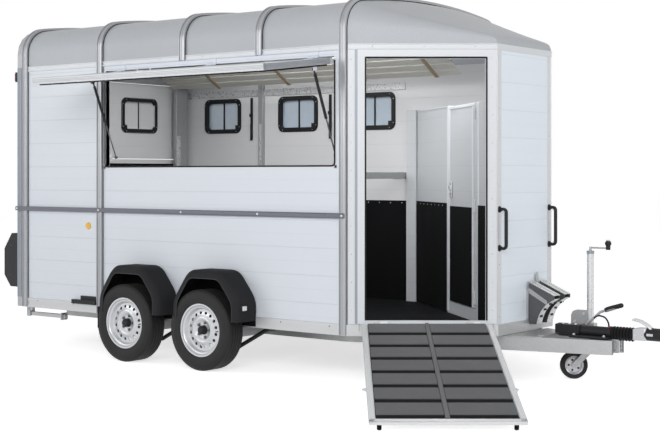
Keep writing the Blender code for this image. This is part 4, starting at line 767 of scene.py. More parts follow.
def side_trim():
    for word, side in SIDES:
        out = side * HALF
        strip = Shape()
        low, high = RUB_STRIP - RUB_STRIP_TALL / 2, RUB_STRIP + RUB_STRIP_TALL / 2
        face = out + side * 0.030
        profile = [
            (out + side * 0.0003, low),
            (face - side * 0.006, low),
            (face, low + 0.007),
            (face, high - 0.007),
            (face - side * 0.006, high),
            (out + side * 0.0003, high),
        ]
        strip.skin([[(x, y, z) for y, z in profile] for x in (REAR + 0.004, -0.004)])
        show("rub_strip_" + word, strip, F["rub"], soft=0.002)
        bolts = Shape()
        for x in (-3.555, -2.530, -1.596, -0.812, -0.029):
            bolts.screw((x, face, RUB_STRIP), (0, side, 0), 0.009, 0.004)
        show("rub_strip_bolts_" + word, bolts, F["bright"])
        edge = Shape()
        edge.block((REAR + 0.001, out, SILL_TOP + 0.002), (REAR + 0.020, out + side * 0.004, WALL_TOP))
        edge.block((REAR + 0.026, out, SILL_TOP + 0.002), (REAR + 0.050, out + side * 0.005, WALL_TOP))
        show("rear_edge_" + word, edge, F["grey_edge"], soft=0.001)
        reflector = Shape()
        spot = (-2.677, out, 1.051)
        reflector.rod(spot, (spot[0], out + side * 0.008, spot[2]), 0.030, 28, 0.027)
        show("side_reflector_" + word, reflector, F["orange"])
        marker = Shape()
        marker.block((REAR - 0.030, out - side * 0.05, 2.28), (REAR, out + side * 0.004, 2.365))
        show("high_marker_base_" + word, marker, F["plastic"], soft=0.004)
        glow = Shape()
        glow.block((REAR - 0.040, out - side * 0.045, 2.29), (REAR - 0.031, out, 2.355))
        show("high_marker_lens_" + word, glow, F["red"], soft=0.003)
        sill = Shape()
        for i in range(8):
            x = -3.30 + i * 0.45
            sill.screw((x, side * (HALF + 0.012), SILL_TOP - 0.020), (0, side, 0), 0.005)
        show("sill_rivets_" + word, sill, F["dull"])
        bar = Shape()
        face = side * (HALF + 0.0123)
        bar.block((-2.85, face, 0.403), (-2.56, face + side * 0.024, 0.438))
        bar.block((-2.764, side * (HALF + 0.0003), 0.433), (-2.56, side * (HALF + 0.012), 0.470))
        show("sill_bar_" + word, bar, F["plastic"], soft=0.003)


def window(name, place, latch_side, body="trailer", node=None, depth=WALL, grow=0.0):
    """Black rounded frame on both faces, its pane, middle bar, latch and screws.

    place: x across, y up, z out of the outer face.
    """
    tall, wide = WINDOW_HEIGHT + grow, WINDOW_WIDTH + grow
    black = Shape(place)
    for step, z0, z1 in ((0.0, 0.0003, 0.007), (0.004, 0.007, 0.011)):
        outer = rounded_box(wide - 2 * step, tall - 2 * step, WINDOW_RADIUS - step)
        inner = rounded_box(
            wide - 2 * WINDOW_BORDER, tall - 2 * WINDOW_BORDER, WINDOW_RADIUS - 0.025
        )
        black.ring(outer, inner, z0, z1)
        black.ring(outer, inner, -depth - z1, -depth - z0)
    hole = rounded_box(wide - WINDOW_BORDER, tall - WINDOW_BORDER, WINDOW_RADIUS - 0.02)
    inner = rounded_box(wide - 2 * WINDOW_BORDER, tall - 2 * WINDOW_BORDER, WINDOW_RADIUS - 0.025)
    black.ring(hole, inner, -depth, 0.0)
    half = tall / 2 - WINDOW_BORDER + 0.004
    black.block((-0.008, -half, -depth / 2 - 0.006), (0.008, half, -depth / 2 + 0.010))
    corner = (latch_side * (wide / 2 - 0.068), -tall / 2 + 0.056)
    black.block(
        (corner[0] - 0.025, corner[1] - 0.022, -depth / 2 - 0.004),
        (corner[0] + 0.025, corner[1] + 0.022, -depth / 2 + 0.014),
    )
    replaced = (node,) if node else ()
    show(name + "_frame", black, F["plastic"], body, soft=0.0015, replaces=replaced)
    pane = Shape(place)
    outline = rounded_box(
        wide - 2 * WINDOW_BORDER + 0.006, tall - 2 * WINDOW_BORDER + 0.006, WINDOW_RADIUS - 0.022
    )
    pane.plate(outline, -depth / 2, -depth / 2 + 0.004)
    show(name + "_pane", pane, F["glass"], body)
    screws = Shape(place)
    for x, y in rounded_box(wide - 0.034, tall - 0.034, WINDOW_RADIUS - 0.017, steps=1):
        screws.screw((x, y, 0.011), (0, 0, 1), 0.0035, 0.002)
        screws.screw((x, y, -depth - 0.011), (0, 0, -1), 0.0035, 0.002)
    show(name + "_screws", screws, F["bright"], body)


def windows():
    for number, x in enumerate(WINDOWS, 1):
        place = basis(at(x, HALF, WINDOW_MIDDLE), (-1, 0, 0), (0, 0, 1))
        window(f"window_{number}", place, -1, node=f"side_window_{number}")
    for word, side in SIDES:
        y = side * 0.388
        place = basis(at(REAR, y, WINDOW_MIDDLE), (0, -1, 0), (0, 0, 1))
        window("rear_window_" + word, place, 1, "rear_door_" + word, depth=0.036, grow=0.004)


# Hatch


def flap_frame():
    """x over the open flap, y out of its outer face, z along the hinge's axis."""
    place, axis = joint("hatch_flap_hinge")
    over = Matrix.Rotation(math.radians(90 - FLAP_DROOP), 3, axis) @ Vector((0, 0, -1))
    return basis(place, over, axis.cross(over))


def hatch_flap():
    place = flap_frame()
    half = (HATCH_FRONT - HATCH_REAR) / 2 - 0.006
    inner, outer = -0.012 - WALL, -0.012
    far = 2.321 - HATCH_BOTTOM - 0.006
    edge = Shape(place)
    for z in (-1, 1):
        edge.block((0.03, inner - 0.003, z * half), (far, outer + 0.002, z * (half - 0.022)))
    edge.block((far - 0.030, inner - 0.004, -half), (far + 0.0005, outer + 0.003, half))
    edge.rod((far - 0.012, outer, -half), (far - 0.012, outer, half), 0.007, 12)
    show("flap_edges", edge, F["aluminium"], "hatch_flap", soft=0.0015)
    # The flap's inner lining, coloured dark grey as painted shade on the downward face of the open flap.
    under = Shape(place)
    under.block((0.035, inner - 0.0025, -half + 0.03), (far - 0.034, inner - 0.0005, half - 0.03))
    show("flap_lining_painted_shade", under, F["lining"], "hatch_flap")
    seal = Shape(place)
    run = [
        (0.045, inner - 0.008, -half + 0.028),
        (far - 0.040, inner - 0.008, -half + 0.028),
        (far - 0.040, inner - 0.008, half - 0.028),
        (0.045, inner - 0.008, half - 0.028),
    ]
    seal.tube(fillet(run, 0.03), 0.007, 10)
    show("flap_seal", seal, F["seal"], "hatch_flap")
    handle = Shape(place)
    bow = [(far - 0.045, outer, -0.0725), (far - 0.052, outer + 0.025, -0.060)]
    bow += [(x, y, -z) for x, y, z in bow[::-1]]
    handle.tube(fillet(bow, 0.02), 0.0045, 10)
    handle.block((far - 0.060, outer, -0.028), (far - 0.004, outer + 0.010, 0.028))
    show("flap_handle", handle, F["white"], "hatch_flap", soft=0.001)
    ends = Shape(place)
    # Dark grey block on the flap's front end face: painted shade of that end. The thin lines across the far
    # edge below are grooves.
    ends.block((0.20, inner + 0.006, half + 0.0003), (far - 0.035, outer - 0.008, half + 0.0020))
    for y in (inner + 0.012, (inner + outer) / 2, outer - 0.010):
        ends.block((far + 0.0006, y - 0.0012, -half), (far + 0.0016, y + 0.0012, half))
    show("flap_grooves_and_end_shade", ends, F["grey_edge"], "hatch_flap")
    rivets = Shape(place)
    for i in range(16):
        z = -half + 0.06 + i * (2 * half - 0.12) / 15
        rivets.screw((far - 0.016, inner - 0.004, z), (0, -1, 0), 0.004)
    show("flap_rivets", rivets, F["bright"], "hatch_flap")


def hatch_frame():
    """White lining of the opening in the right wall, with its black seal."""
    out = -HALF
    low, high = HATCH_BOTTOM, HATCH_TOP
    rear, front = HATCH_REAR, HATCH_FRONT
    lining = Shape()
    depth = WALL + 0.004
    for x0, x1 in ((rear - 0.022, rear), (front, front + 0.022)):
        lining.block((x0, out - 0.0022, low - 0.022), (x1, out + depth, high))
    lining.block((rear - 0.022, out - 0.0022, low - 0.022), (front + 0.022, out + depth, low))
    show("hatch_lining", lining, F["white"], soft=0.001)
    seal = Shape()
    run = [
        (rear - 0.006, out - 0.005, high - 0.03),
        (rear - 0.006, out - 0.005, low - 0.006),
        (front + 0.006, out - 0.005, low - 0.006),
        (front + 0.006, out - 0.005, high - 0.03),
    ]
    seal.tube(fillet(run, 0.03), 0.006, 10)
    show("hatch_seal", seal, F["seal"])


def struts():
    for word in ("rear", "front"):
        eye = joint(f"strut_{word}_swing")[0]
        along = joint(f"strut_{word}_slide")[1]
        place = basis(eye, along, (1, 0, 0))
        case = Shape(place)
        case.rod((0.034, 0, 0), (0.37, 0, 0), 0.011, 24)
        case.rod((0.005, 0, 0), (0.036, 0, 0), 0.006, 16)
        case.rod((0.36, 0, 0), (0.372, 0, 0), 0.0095, 24)
        case.rod((0, -0.008, 0), (0, 0.008, 0), 0.011, 20)
        node = f"gas_strut_cylinder_{word}"
        show(f"strut_case_{word}", case, F["plastic"], f"strut_cylinder_{word}", replaces=(node,))
        node = f"gas_strut_rod_{word}"
        low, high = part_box(node)
        corners = [Vector((eye.x, y, z)) for y in (low.y, high.y) for z in (low.z, high.z)]
        length = max((corner - eye).dot(along) for corner in corners) - 0.013
        shaft = Shape(place)
        shaft.rod((0.26, 0, 0), (length - 0.003, 0, 0), 0.005, 16)
        shaft.rod((length, -0.008, 0), (length, 0.008, 0), 0.011, 20)
        show(f"strut_shaft_{word}", shaft, F["dull"], f"strut_rod_{word}", replaces=(node,))


# Side doorway, nose walls and front


def doorway():
    for word, side in SIDES:
        place = up_frame(side)
        trim = Shape(place)
        screws = Shape(place)
        seal = Shape(place)
        low, high = DOORWAY_BOTTOM, DOORWAY_TOP
        start, end, top = DOORWAY_START - 0.012, DOORWAY_END + 0.012, WALL_TOP - 0.014
        for x0, x1 in ((0.004, 0.052), (0.074, start), (end, NOSE_FACE - 0.004)):
            trim.block((x0, 0.0, SILL_TOP + 0.004), (x1, 0.004, top))
        trim.block((start, 0.0, high + 0.012), (end, 0.004, top))
        for i in range(10):
            z = 0.52 + i * 0.197
            screws.screw((0.028, 0.004, z), (0, 1, 0), 0.006)
            screws.screw((DOORWAY_END + 0.045, 0.004, z), (0, 1, 0), 0.005)
        run = [
            (DOORWAY_START - 0.006, 0.002, low + 0.004),
            (DOORWAY_START - 0.006, 0.002, high + 0.006),
            (DOORWAY_END + 0.006, 0.002, high + 0.006),
            (DOORWAY_END + 0.006, 0.002, low + 0.004),
        ]
        seal.tube(fillet(run, 0.004), 0.006, 10)
        groove = Shape(place)
        groove.block((0.054, 0.0, SILL_TOP + 0.004), (0.072, 0.0012, top))
        show("nose_trim_" + word, trim, F["white"], soft=0.001)
        show("nose_screws_" + word, screws, F["bright"])
        show("doorway_seal_" + word, seal, F["seal"])
        show("nose_groove_" + word, groove, F["grey_edge"])


def front_trim():
    rivets = Shape()
    for side in (RIGHT, LEFT):
        for i in range(11):
            z = 0.47 + i * 0.185
            rivets.screw((NOSE_LENGTH, side * (FRONT_HALF - 0.030), z), (1, 0, 0), 0.005)
    for i in range(4):
        y = -0.30 + i * 0.2
        rivets.screw((NOSE_LENGTH + 0.012, y, SILL_TOP - 0.030), (1, 0, 0), 0.006)
    show("front_rivets", rivets, F["bright"])
    corner = Shape()
    for side in (RIGHT, LEFT):
        x, y = NOSE_LENGTH - 0.002, side * (FRONT_HALF - 0.002)
        corner.rod((x, y, SILL_TOP), (x, y, WALL_TOP), 0.006, 12)
    show("front_corner_beads", corner, F["aluminium"])
    handles = Shape()
    feet = Shape()
    for side in (RIGHT, LEFT):
        y = side * (FRONT_HALF - 0.030)
        low, high, out = 0.955, 1.230, NOSE_LENGTH + 0.055
        run = [(NOSE_LENGTH, y, low), (out, y, low), (out, y, high), (NOSE_LENGTH, y, high)]
        handles.tube(fillet(run, 0.035, 7), 0.0128, 14)
        for z in (low, high):
            feet.rod((NOSE_LENGTH + 0.0003, y, z), (NOSE_LENGTH + 0.008, y, z), 0.024, 20, 0.020)
    show("grab_handles", handles, F["plastic"])
    show("grab_handle_feet", feet, F["plastic"])


# Wheels


def tyre_mesh():
    """Sidewalls with a rim guard and four grooves round the tread."""
    half = TYRE_WIDTH / 2
    tread = TYRE_RADIUS
    groove = 0.007
    profile = [(RIM_RADIUS + 0.0006, half - 0.032), (RIM_RADIUS + 0.006, half - 0.018)]
    profile += [(RIM_RADIUS + 0.014, half - 0.010), (RIM_RADIUS + 0.022, half - 0.008)]
    profile += [(RIM_RADIUS + 0.040, half - 0.0015), (RIM_RADIUS + 0.058, half)]
    profile += [(RIM_RADIUS + 0.072, half - 0.002), (tread - 0.022, half - 0.008)]
    profile += [(tread - 0.012, half - 0.013), (tread - 0.006, half - 0.020), (tread - 0.002, half - 0.027)]
    lands = ((0.068, 0.044), (0.038, 0.016), (0.010, -0.010), (-0.016, -0.038), (-0.044, -0.068))
    for outer, inner in lands:
        edge = 0.0015
        profile += [(tread - groove, outer + edge), (tread, outer), (tread, inner)]
        profile += [(tread - groove, inner - edge)]
    mirror = [(r, -z) for r, z in profile[:11]][::-1]
    shape = Shape(Matrix())
    shape.turned(profile + mirror, 80)
    return shape.mesh()


def rim_mesh():
    """Pressed disc wheel with sixteen holes, bead seats and a stepped dish."""
    half = RIM_WIDTH / 2
    profile = [
        (0.036, 0.030),
        (0.056, 0.030),
        (0.062, 0.032),
        (0.080, 0.050),
        (0.090, 0.053),
        (0.100, 0.051),
        (0.112, 0.040),
        (0.146, 0.032),
        (0.156, 0.034),
        (0.163, 0.044),
        (0.170, 0.056),
        (0.181, 0.060),
        (0.186, 0.066),
        (0.188, half - 0.002),
        (RIM_RADIUS + 0.008, half),
        (RIM_RADIUS + 0.009, half - 0.005),
        (RIM_RADIUS - 0.001, half - 0.012),
        (RIM_RADIUS - 0.001, -half),
        (RIM_RADIUS - 0.007, -half),
        (RIM_RADIUS - 0.020, -0.030),
        (0.160, 0.018),
        (0.146, 0.026),
        (0.112, 0.034),
        (0.100, 0.045),
        (0.080, 0.044),
        (0.060, 0.024),
        (0.036, 0.024),
    ]
    disc = Shape(Matrix())
    disc.turned(profile, 64)
    holes = Shape(Matrix())
    for i in range(16):
        angle = math.tau * (i + 0.5) / 16
        x, y = 0.130 * math.cos(angle), 0.130 * math.sin(angle)
        holes.rod((x, y, 0.0), (x, y, 0.07), 0.0125, 20)
    for i in range(5):
        angle = math.tau * i / 5
        x, y = 0.056 * math.cos(angle), 0.056 * math.sin(angle)
        holes.rod((x, y, 0.0), (x, y, 0.07), 0.0085, 16)
    base = bpy.data.objects.new("disc_blank", disc.mesh())
    cutter = bpy.data.objects.new("disc_holes", holes.mesh())
    for piece in (base, cutter):
        bpy.context.scene.collection.objects.link(piece)
    cut = base.modifiers.new("Holes", "BOOLEAN")
    cut.operation = "DIFFERENCE"
    cut.object = cutter
    bpy.context.view_layer.update()
    graph = bpy.context.evaluated_depsgraph_get()
    mesh = bpy.data.meshes.new_from_object(base.evaluated_get(graph))
    for piece in (base, cutter):
        bpy.data.objects.remove(piece)
    mesh.materials.clear()
    mesh.shade_smooth()
    mesh.set_sharp_from_angle(angle=math.radians(35))
    return mesh


def wheel_pieces():
    """The shared meshes of one wheel, laid out about its own axis."""
    hub = Shape(Matrix())
    hub.turned(
        [
            (0.0, 0.074),
            (0.022, 0.074),
            (0.029, 0.068),
            (0.032, 0.058),
            (0.034, 0.030),
            (0.036, 0.026),
            (0.0, 0.026),
        ],
        32,
    )
    drum = Shape(Matrix())
    drum.turned([(0.0, 0.022), (0.100, 0.022), (0.110, 0.012), (0.110, -0.0645), (0.0, -0.0645)], 40)
    for z in (-0.05, -0.03, -0.01):
        drum.turned([(0.108, z - 0.004), (0.114, z - 0.003), (0.114, z + 0.003), (0.108, z + 0.004)], 40)
    bolts = Shape(Matrix())
    for i in range(5):
        angle = math.tau * i / 5
        x, y = 0.056 * math.cos(angle), 0.056 * math.sin(angle)
        bolts.rod((x, y, 0.022), (x, y, 0.042), 0.0105, 6)
        bolts.rod((x, y, 0.042), (x, y, 0.045), 0.0085, 12, 0.005)
    valve = Shape(Matrix())
    valve.rod((0.165, 0, 0.040), (0.160, 0, 0.074), 0.004, 10)
    return {
        "tyre": (tyre_mesh(), F["tyre"]),
        "rim": (rim_mesh(), F["silver"]),
        "hub": (hub.mesh(), F["plastic"]),
        "drum": (drum.mesh(), F["drum"]),
        "bolts": (bolts.mesh(), F["dull"]),
        "valve": (valve.mesh(), F["plastic"]),
    }


def wheels():
    meshes = wheel_pieces()
    for end in ("front", "rear"):
        for word, side in SIDES:
            spin = joint(f"wheel_{end}_{word}_spin")[0]
            middle = Vector((spin.x, MIDDLE_Y + side * (HALF + 0.117), spin.z))
            place = basis(middle, (1, 0, 0), (0, 0, 1) if side == RIGHT else (0, 0, -1))
            body = f"wheel_{end}_{word}"
            for part, (mesh, finish) in meshes.items():
                piece = show(f"{body}_{part}_skin", mesh, finish, body)
                piece.matrix_world = place
                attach(piece, body)
                if part in ("tyre", "rim"):
                    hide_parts(f"{body}_{part}")


GUARD_LINE = (
    # along the trailer from the wheel's middle, height
    (-0.285, 0.390),
    (-0.280, 0.530),
    (-0.120, 0.760),
    (0.235, 0.760),
    (0.405, 0.545),
    (0.400, 0.388),
)
GUARD_SECTION = (
    # inside the outer line, out from the body
    (0.0, 0.0123),
    (0.0, 0.175),
    (0.020, 0.205),
    (0.045, 0.218),
    (0.058, 0.2195),
    (0.056, 0.2140),
    (0.045, 0.212),
    (0.026, 0.198),
    (0.008, 0.170),
    (0.008, 0.0123),
)


def guard_skin(shape, line, section, side):
    rails = []
    for depth, out in section:
        rails.append([(x, side * (HALF + out), z) for x, z in offset_line(line, -depth)])
    shape.skin(list(zip(*rails)))


def mudguards():
    """Two black mouldings a side, with a bevelled skirt and a rolled paler lip."""
    for word, side in SIDES:
        shape, lip, liner = Shape(), Shape(), Shape()
        for wheel in WHEEL_PLACES:
            corners = [Vector((wheel + x, z)) for x, z in GUARD_LINE]
            line = [tuple(point) for point in fillet(corners, 0.075, 6)]
            guard_skin(shape, line, GUARD_SECTION, side)
            edge = [(x, side * (HALF + 0.2155), z) for x, z in offset_line(line, -0.060)]
            lip.tube(edge, 0.0042, 10)
            low = [(line[-1][0], 0.345), (line[0][0], 0.345)]
            liner.skin([[(x, side * (HALF + out), z) for x, z in line + low] for out in (0.0125, 0.0155)])
        x0 = WHEEL_PLACES[1] + GUARD_LINE[0][0]
        shape.block((x0 + 0.008, side * (HALF + 0.017), 0.25), (x0, side * (HALF + 0.208), 0.42))
        show("mudguard_skin_" + word, shape, F["guard"], replaces=("mudguard_" + word,))
        show("mudguard_lip_" + word, lip, F["guard_lip"])
        show("arch_liner_" + word, liner, F["rubber"])
        lamp_x = WHEEL_PLACES[0] + 0.401
        base, lens_y = HALF + 0.161, 0.025
        lamp = Shape()
        lamp.block((lamp_x, side * (base - lens_y), 0.470), (lamp_x + 0.014, side * (base + lens_y), 0.514))
        show("marker_base_" + word, lamp, F["plastic"], soft=0.003)
        face = Shape()
        face.block(
            (lamp_x + 0.0145, side * (base - 0.020), 0.475), (lamp_x + 0.026, side * (base + 0.020), 0.509)
        )
        show("marker_lens_" + word, face, F["clear"], soft=0.003)
    dampers = Shape()
    for shift in (0.0, WHEEL_PLACES[1] - WHEEL_PLACES[0]):
        for side in (RIGHT, LEFT):
            dampers.rod((-0.80 + shift, side * 0.93, 0.33), (-1.12 + shift, side * 0.93, 0.16), 0.016, 18)
            dampers.block((-0.83 + shift, side * 0.91, 0.31), (-0.77 + shift, side * 0.95, 0.345))
    show("suspension_dampers", dampers, F["plastic"])


# Side ramp


def ramp_frame():
    """x down the ramp, y out of its underside, z along the hinge's axis."""
    place, axis = joint("side_ramp_hinge")
    over = Matrix.Rotation(math.radians(90 + RAMP_DROP), 3, axis) @ Vector((0, 0, 1))
    return basis(place, over, axis.cross(over))


def side_ramp():
    """Hollow frame with a thin end lip, seven rows of ribbed mats and dark bands between: real gaps, drawn
    wide and flat as painted shade of the mats' step faces.
    """
    place = ramp_frame()
    top, back, lip = 0.004, 0.049, 0.018
    rows, start, end = 7, 0.022, RAMP_LENGTH - 0.048
    pitch = (end - start) / rows
    edge = RAMP_HALF - RAMP_EDGE
    frame_shape = Shape(place)
    side_line = [(start, top), (RAMP_LENGTH, top), (RAMP_LENGTH, lip)]
    side_line += [(RAMP_LENGTH - 0.10, back), (start, back)]
    frame_shape.skin([[(x, y, z) for x, y in side_line] for z in (-RAMP_HALF, RAMP_HALF)])
    for z in (-RAMP_HINGE, RAMP_HINGE):
        frame_shape.rod((0, 0, z + 0.001), (0, 0, z + 0.056), 0.015, 20)
        frame_shape.block((0.0, 0.006, z + 0.001), (0.060, 0.003, z + 0.056))
    for side in (-1, 1):
        z0, z1 = side * RAMP_HALF, side * (RAMP_HALF - 0.036)
        frame_shape.block((0.060, top, z0), (RAMP_LENGTH, -0.004, z1))
        hook = side * (RAMP_HALF - 0.01), side * (RAMP_HALF + 0.018)
        frame_shape.block((1.218, 0.016, hook[0]), (1.258, 0.026, hook[1]))
    frame_shape.block((RAMP_LENGTH - 0.044, top, -RAMP_HALF), (RAMP_LENGTH, -0.004, RAMP_HALF))
    show("ramp_panel", frame_shape, F["ramp"], "side_ramp", soft=0.0015, replaces=("side_ramp",))
    feet = Shape(place)
    slope = math.radians(RAMP_DROP)
    ground = (RAMP_HINGE_HEIGHT - RAMP_LENGTH * math.sin(slope)) / math.cos(slope)
    for z in (-RAMP_HALF + 0.060, RAMP_HALF - 0.060):
        feet.rod((RAMP_LENGTH - 0.030, 0.020, z), (RAMP_LENGTH - 0.030, ground - 0.003, z), 0.014, 20)
    show("ramp_feet", feet, F["rubber"], "side_ramp")
    bed = Shape(place)
    bed.block((start, 0.0037, -edge), (end + 0.003, 0.0012, edge))
    show("ramp_bed", bed, F["seal"], "side_ramp", replaces=("side_ramp_mat",))
    mats = Shape(place)
    for i in range(rows):
        x0 = start + pitch * i + (0.002 if i else 0.0)
        x1 = start + pitch * (i + 1) - 0.056
        line = [(x0, 0.0013), (x0, -0.004), (x1 - 0.010, -0.0085), (x1, -0.0065), (x1, 0.0013)]
        for low, high in ((-edge + 0.003, -0.016), (0.016, edge - 0.003)):
            mats.skin([[(x, y, z) for x, y in line] for z in (low, high)])
    show("ramp_mats", mats, F["mat"], "side_ramp", soft=0.001)
    # Dark rubber band after each mat row: a real gap, drawn wider and flat as painted shade of the mats'
    # step faces.
    joints = Shape(place)
    for i in range(rows):
        x1 = start + pitch * (i + 1)
        joints.block((x1 - 0.055, 0.0013, -edge + 0.001), (x1, -0.0015, edge - 0.001))
    show("ramp_gaps_and_step_shade", joints, F["rubber"], "side_ramp", soft=0.0008)
    strip = Shape(place)
    strip.block((start, 0.0013, -0.014), (end, -0.0100, 0.014))
    show("ramp_middle_strip", strip, F["strip"], "side_ramp", soft=0.002)
    hooks = Shape(place)
    for side in (-1, 1):
        z = side * (RAMP_HALF + 0.010)
        ring = [
            (1.238 + 0.013 * math.cos(a), 0.021, z + side * 0.006 + 0.010 * math.sin(a))
            for a in (math.tau * k / 16 for k in range(17))
        ]
        hooks.tube(ring, 0.0033, 8)
    show("ramp_hooks", hooks, F["bright"], "side_ramp")
    rivets = Shape(place)
    for side in (-1, 1):
        for i in range(9):
            rivets.screw((0.12 + i * 0.20, -0.004, side * (RAMP_HALF - 0.018)), (0, -1, 0), 0.0035)
    show("ramp_rivets", rivets, F["bright"], "side_ramp")
    gussets = Shape(up_frame(RIGHT))
    for x in (DOORWAY_START - 0.055, DOORWAY_END + 0.047):
        line = [(0.002, 0.425), (0.028, 0.425), (0.028, 0.410), (0.002, 0.345)]
        gussets.skin([[(x + dx, y, z) for y, z in line] for dx in (0.0, 0.008)])
    show("ramp_gussets", gussets, F["zinc"])


# Horse space and tack room


def stall():
    """Posts, rails, straps and the ceiling boards of the horse space."""
    inner, front = INNER, HOOP_FRONTS[1][1]
    posts = Shape()
    posts.block(
        (front - LAP - 0.0005, inner - 0.0005, KICKBOARD_TOP),
        (front + 0.0005, inner - 0.0312, WALL_TOP - 0.02),
    )
    show("inner_post_covers", posts, F["zinc"], soft=0.002)
    strips = Shape()
    x = front - LAP / 2
    strips.block(
        (x - 0.012, inner - 0.0313, KICKBOARD_TOP + 0.02), (x + 0.012, inner - 0.036, WALL_TOP - 0.45)
    )
    show("inner_post_strips", strips, F["bright"], soft=0.001)
    rail = Shape()
    rail.block((-3.49, inner, WALL_TOP - 0.185), (-0.90, inner - 0.010, WALL_TOP - 0.125))
    rail.block((-3.49, -inner, WALL_TOP - 0.060), (-0.07, -inner + 0.010, WALL_TOP - 0.004))
    show("wall_top_rails", rail, F["bright"], soft=0.001)
    rivets = Shape()
    for i in range(22):
        rivets.screw((-3.45 + i * 0.12, inner - 0.010, WALL_TOP - 0.155), (0, -1, 0), 0.004)
        rivets.screw((-3.45 + i * 0.12, inner - 0.012, KICKBOARD_TOP - 0.02), (0, -1, 0), 0.004)
        rivets.screw((-3.45 + i * 0.12, -inner + 0.012, KICKBOARD_TOP - 0.02), (0, 1, 0), 0.004)
    show("inner_rivets", rivets, F["bright"])
    ceiling, brackets, hangers = Shape(), Shape(), Shape()
    for i in range(4):
        y, z = 0.800 - 0.075 * i, 2.300 + 0.045 * i
        board = [(y, z), (y - 0.062, z + 0.037), (y - 0.057, z + 0.046), (y + 0.005, z + 0.009)]
        ceiling.skin([[(x, *point) for point in board] for x in (STALL_REAR, -0.20)])
    for x in (-2.90, -2.05, -1.20, -0.45):
        arm = [(0.812, 2.286), (0.500, 2.474), (0.504, 2.482), (0.816, 2.294)]
        brackets.skin([[(x + dx, *point) for point in arm] for dx in (-0.02, 0.02)])
        for y, z in ((0.55, 2.455), (0.75, 2.335)):
            hangers.rod((x, y, z), (x, y, CROWN - 0.045 - 0.075 * y * y), 0.0035, 8)
    show("ceiling_boards", ceiling, F["cream"], soft=0.002)
    show("ceiling_brackets", brackets, F["tan"], soft=0.002)
    show("ceiling_hangers", hangers, F["zinc"])
    corner = Shape()
    corner.block((STALL_REAR, 0.80, 0.39), (-3.455, 0.96, 2.30))
    show("rear_inner_post", corner, F["zinc"], soft=0.003)
    # Bright band down the rear inner post: a painted highlight on the post.
    gleam = Shape()
    gleam.block((-3.4545, 0.805, 1.20), (-3.450, 0.850, 1.85))
    show("rear_inner_post_highlight", gleam, F["bright"], soft=0.001)
    straps = Shape()
    buckles = Shape()
    for x in (-2.66, -1.72):
        straps.block((x - 0.014, inner - 0.004, 1.82), (x + 0.014, inner - 0.010, 2.20))
        straps.block((x - 0.012, inner - 0.010, 1.80), (x + 0.016, inner - 0.016, 1.95))
        buckles.block((x - 0.020, inner - 0.010, 2.02), (x + 0.020, inner - 0.018, 2.05))
    show("wall_straps", straps, F["webbing"], soft=0.001)
    show("strap_buckles", buckles, F["plastic"], soft=0.002)


def breast_bar_fittings():
    bar_x, bar_z = BREAST_BAR_X, BREAST_BAR_HEIGHT
    fittings = Shape()
    for y in (0.86, -0.86):
        rear, y0, y1 = bar_x - 0.034, y - 0.03, y + 0.03
        for way in (-1, 1):
            z0, z1 = bar_z + way * 0.0276, bar_z + way * 0.033
            fittings.block((rear, y0, z0), (bar_x + 0.034, y1, z1))
        fittings.block((rear, y0, bar_z - 0.033), (bar_x - 0.0276, y1, bar_z + 0.033))
        ring = [
            (bar_x - 0.046 + 0.018 * math.cos(a), y, bar_z + 0.018 * math.sin(a))
            for a in (math.tau * k / 18 for k in range(17))
        ]
        fittings.tube(ring, 0.004, 8)
    show("breast_bar_brackets", fittings, F["bright"], soft=0.001)


def tack_frame():
    """x along the slanted inner wall, y out of its stall face, z up."""
    start = at(TACK_WALL_REAR, INNER - 0.0003, 0)
    corner = at(NOSE_LENGTH - WALL - 0.0003, -0.3751, 0)
    along = (corner - start).normalized()
    out = Vector((along.y, -along.x, 0))
    if out.y > 0:
        out = -out
    turn = Matrix((along, out, Vector((0, 0, 1)))).transposed()
    return Matrix.Translation(start) @ turn.to_4x4()


def tack_room():
    place = tack_frame()
    start, end = TACK_DOOR_START, TACK_DOOR_END
    bottom, top = TACK_DOOR_BOTTOM, TACK_WALL_TOP
    edges = Shape(place)
    for x0, x1 in ((start - 0.045, start - 0.004), (end + 0.056, end + 0.078)):
        edges.block((x0, 0.0, 0.40), (x1, 0.006, top))
    edges.block((0.06, -0.034, top), (start - 0.004, 0.004, top + 0.010))
    show("tack_wall_edges", edges, F["white"], soft=0.001)
    kick = Shape(place)
    kick.block((0.06, 0.0, 0.39), (start - 0.046, 0.010, KICKBOARD_TOP))
    kick.block((end + 0.080, 0.0, 0.39), (2.02, 0.010, KICKBOARD_TOP))
    show("tack_wall_kickboard", kick, F["rubber"], soft=0.001)
    screws = Shape(place)
    for i in range(8):
        screws.screw((0.10 + i * 0.11, 0.010, KICKBOARD_TOP - 0.02), (0, 1, 0), 0.004)
    show("tack_wall_screws", screws, F["bright"])
    door = Shape(place)
    low = bottom + 0.006
    for x0, x1 in ((start + 0.006, start + 0.030), (end - 0.078, end - 0.056)):
        door.block((x0, 0.0003, low), (x1, 0.006, top - 0.001))
    door.block((start + 0.006, 0.0003, top - 0.022), (end - 0.008, 0.005, top))
    show("inner_door_edges", door, F["white"], "inner_door", soft=0.001)
    board = Shape(place)
    board.block((start + 0.032, 0.0003, low), (end - 0.080, 0.005, KICKBOARD_TOP - 0.02))
    show("inner_door_kickboard", board, F["rubber"], "inner_door", soft=0.001)
    fittings = Shape(place)
    fittings.block((start + 0.05, 0.005, 1.30), (start + 0.10, 0.014, 1.42))
    ring = [
        (start + 0.075 + 0.024 * math.cos(a), 0.020, 1.36 + 0.030 * math.sin(a))
        for a in (math.tau * k / 18 for k in range(17))
    ]
    fittings.tube(ring, 0.004, 8)
    show("inner_door_pull", fittings, F["bright"], "inner_door", soft=0.001)


# Rear


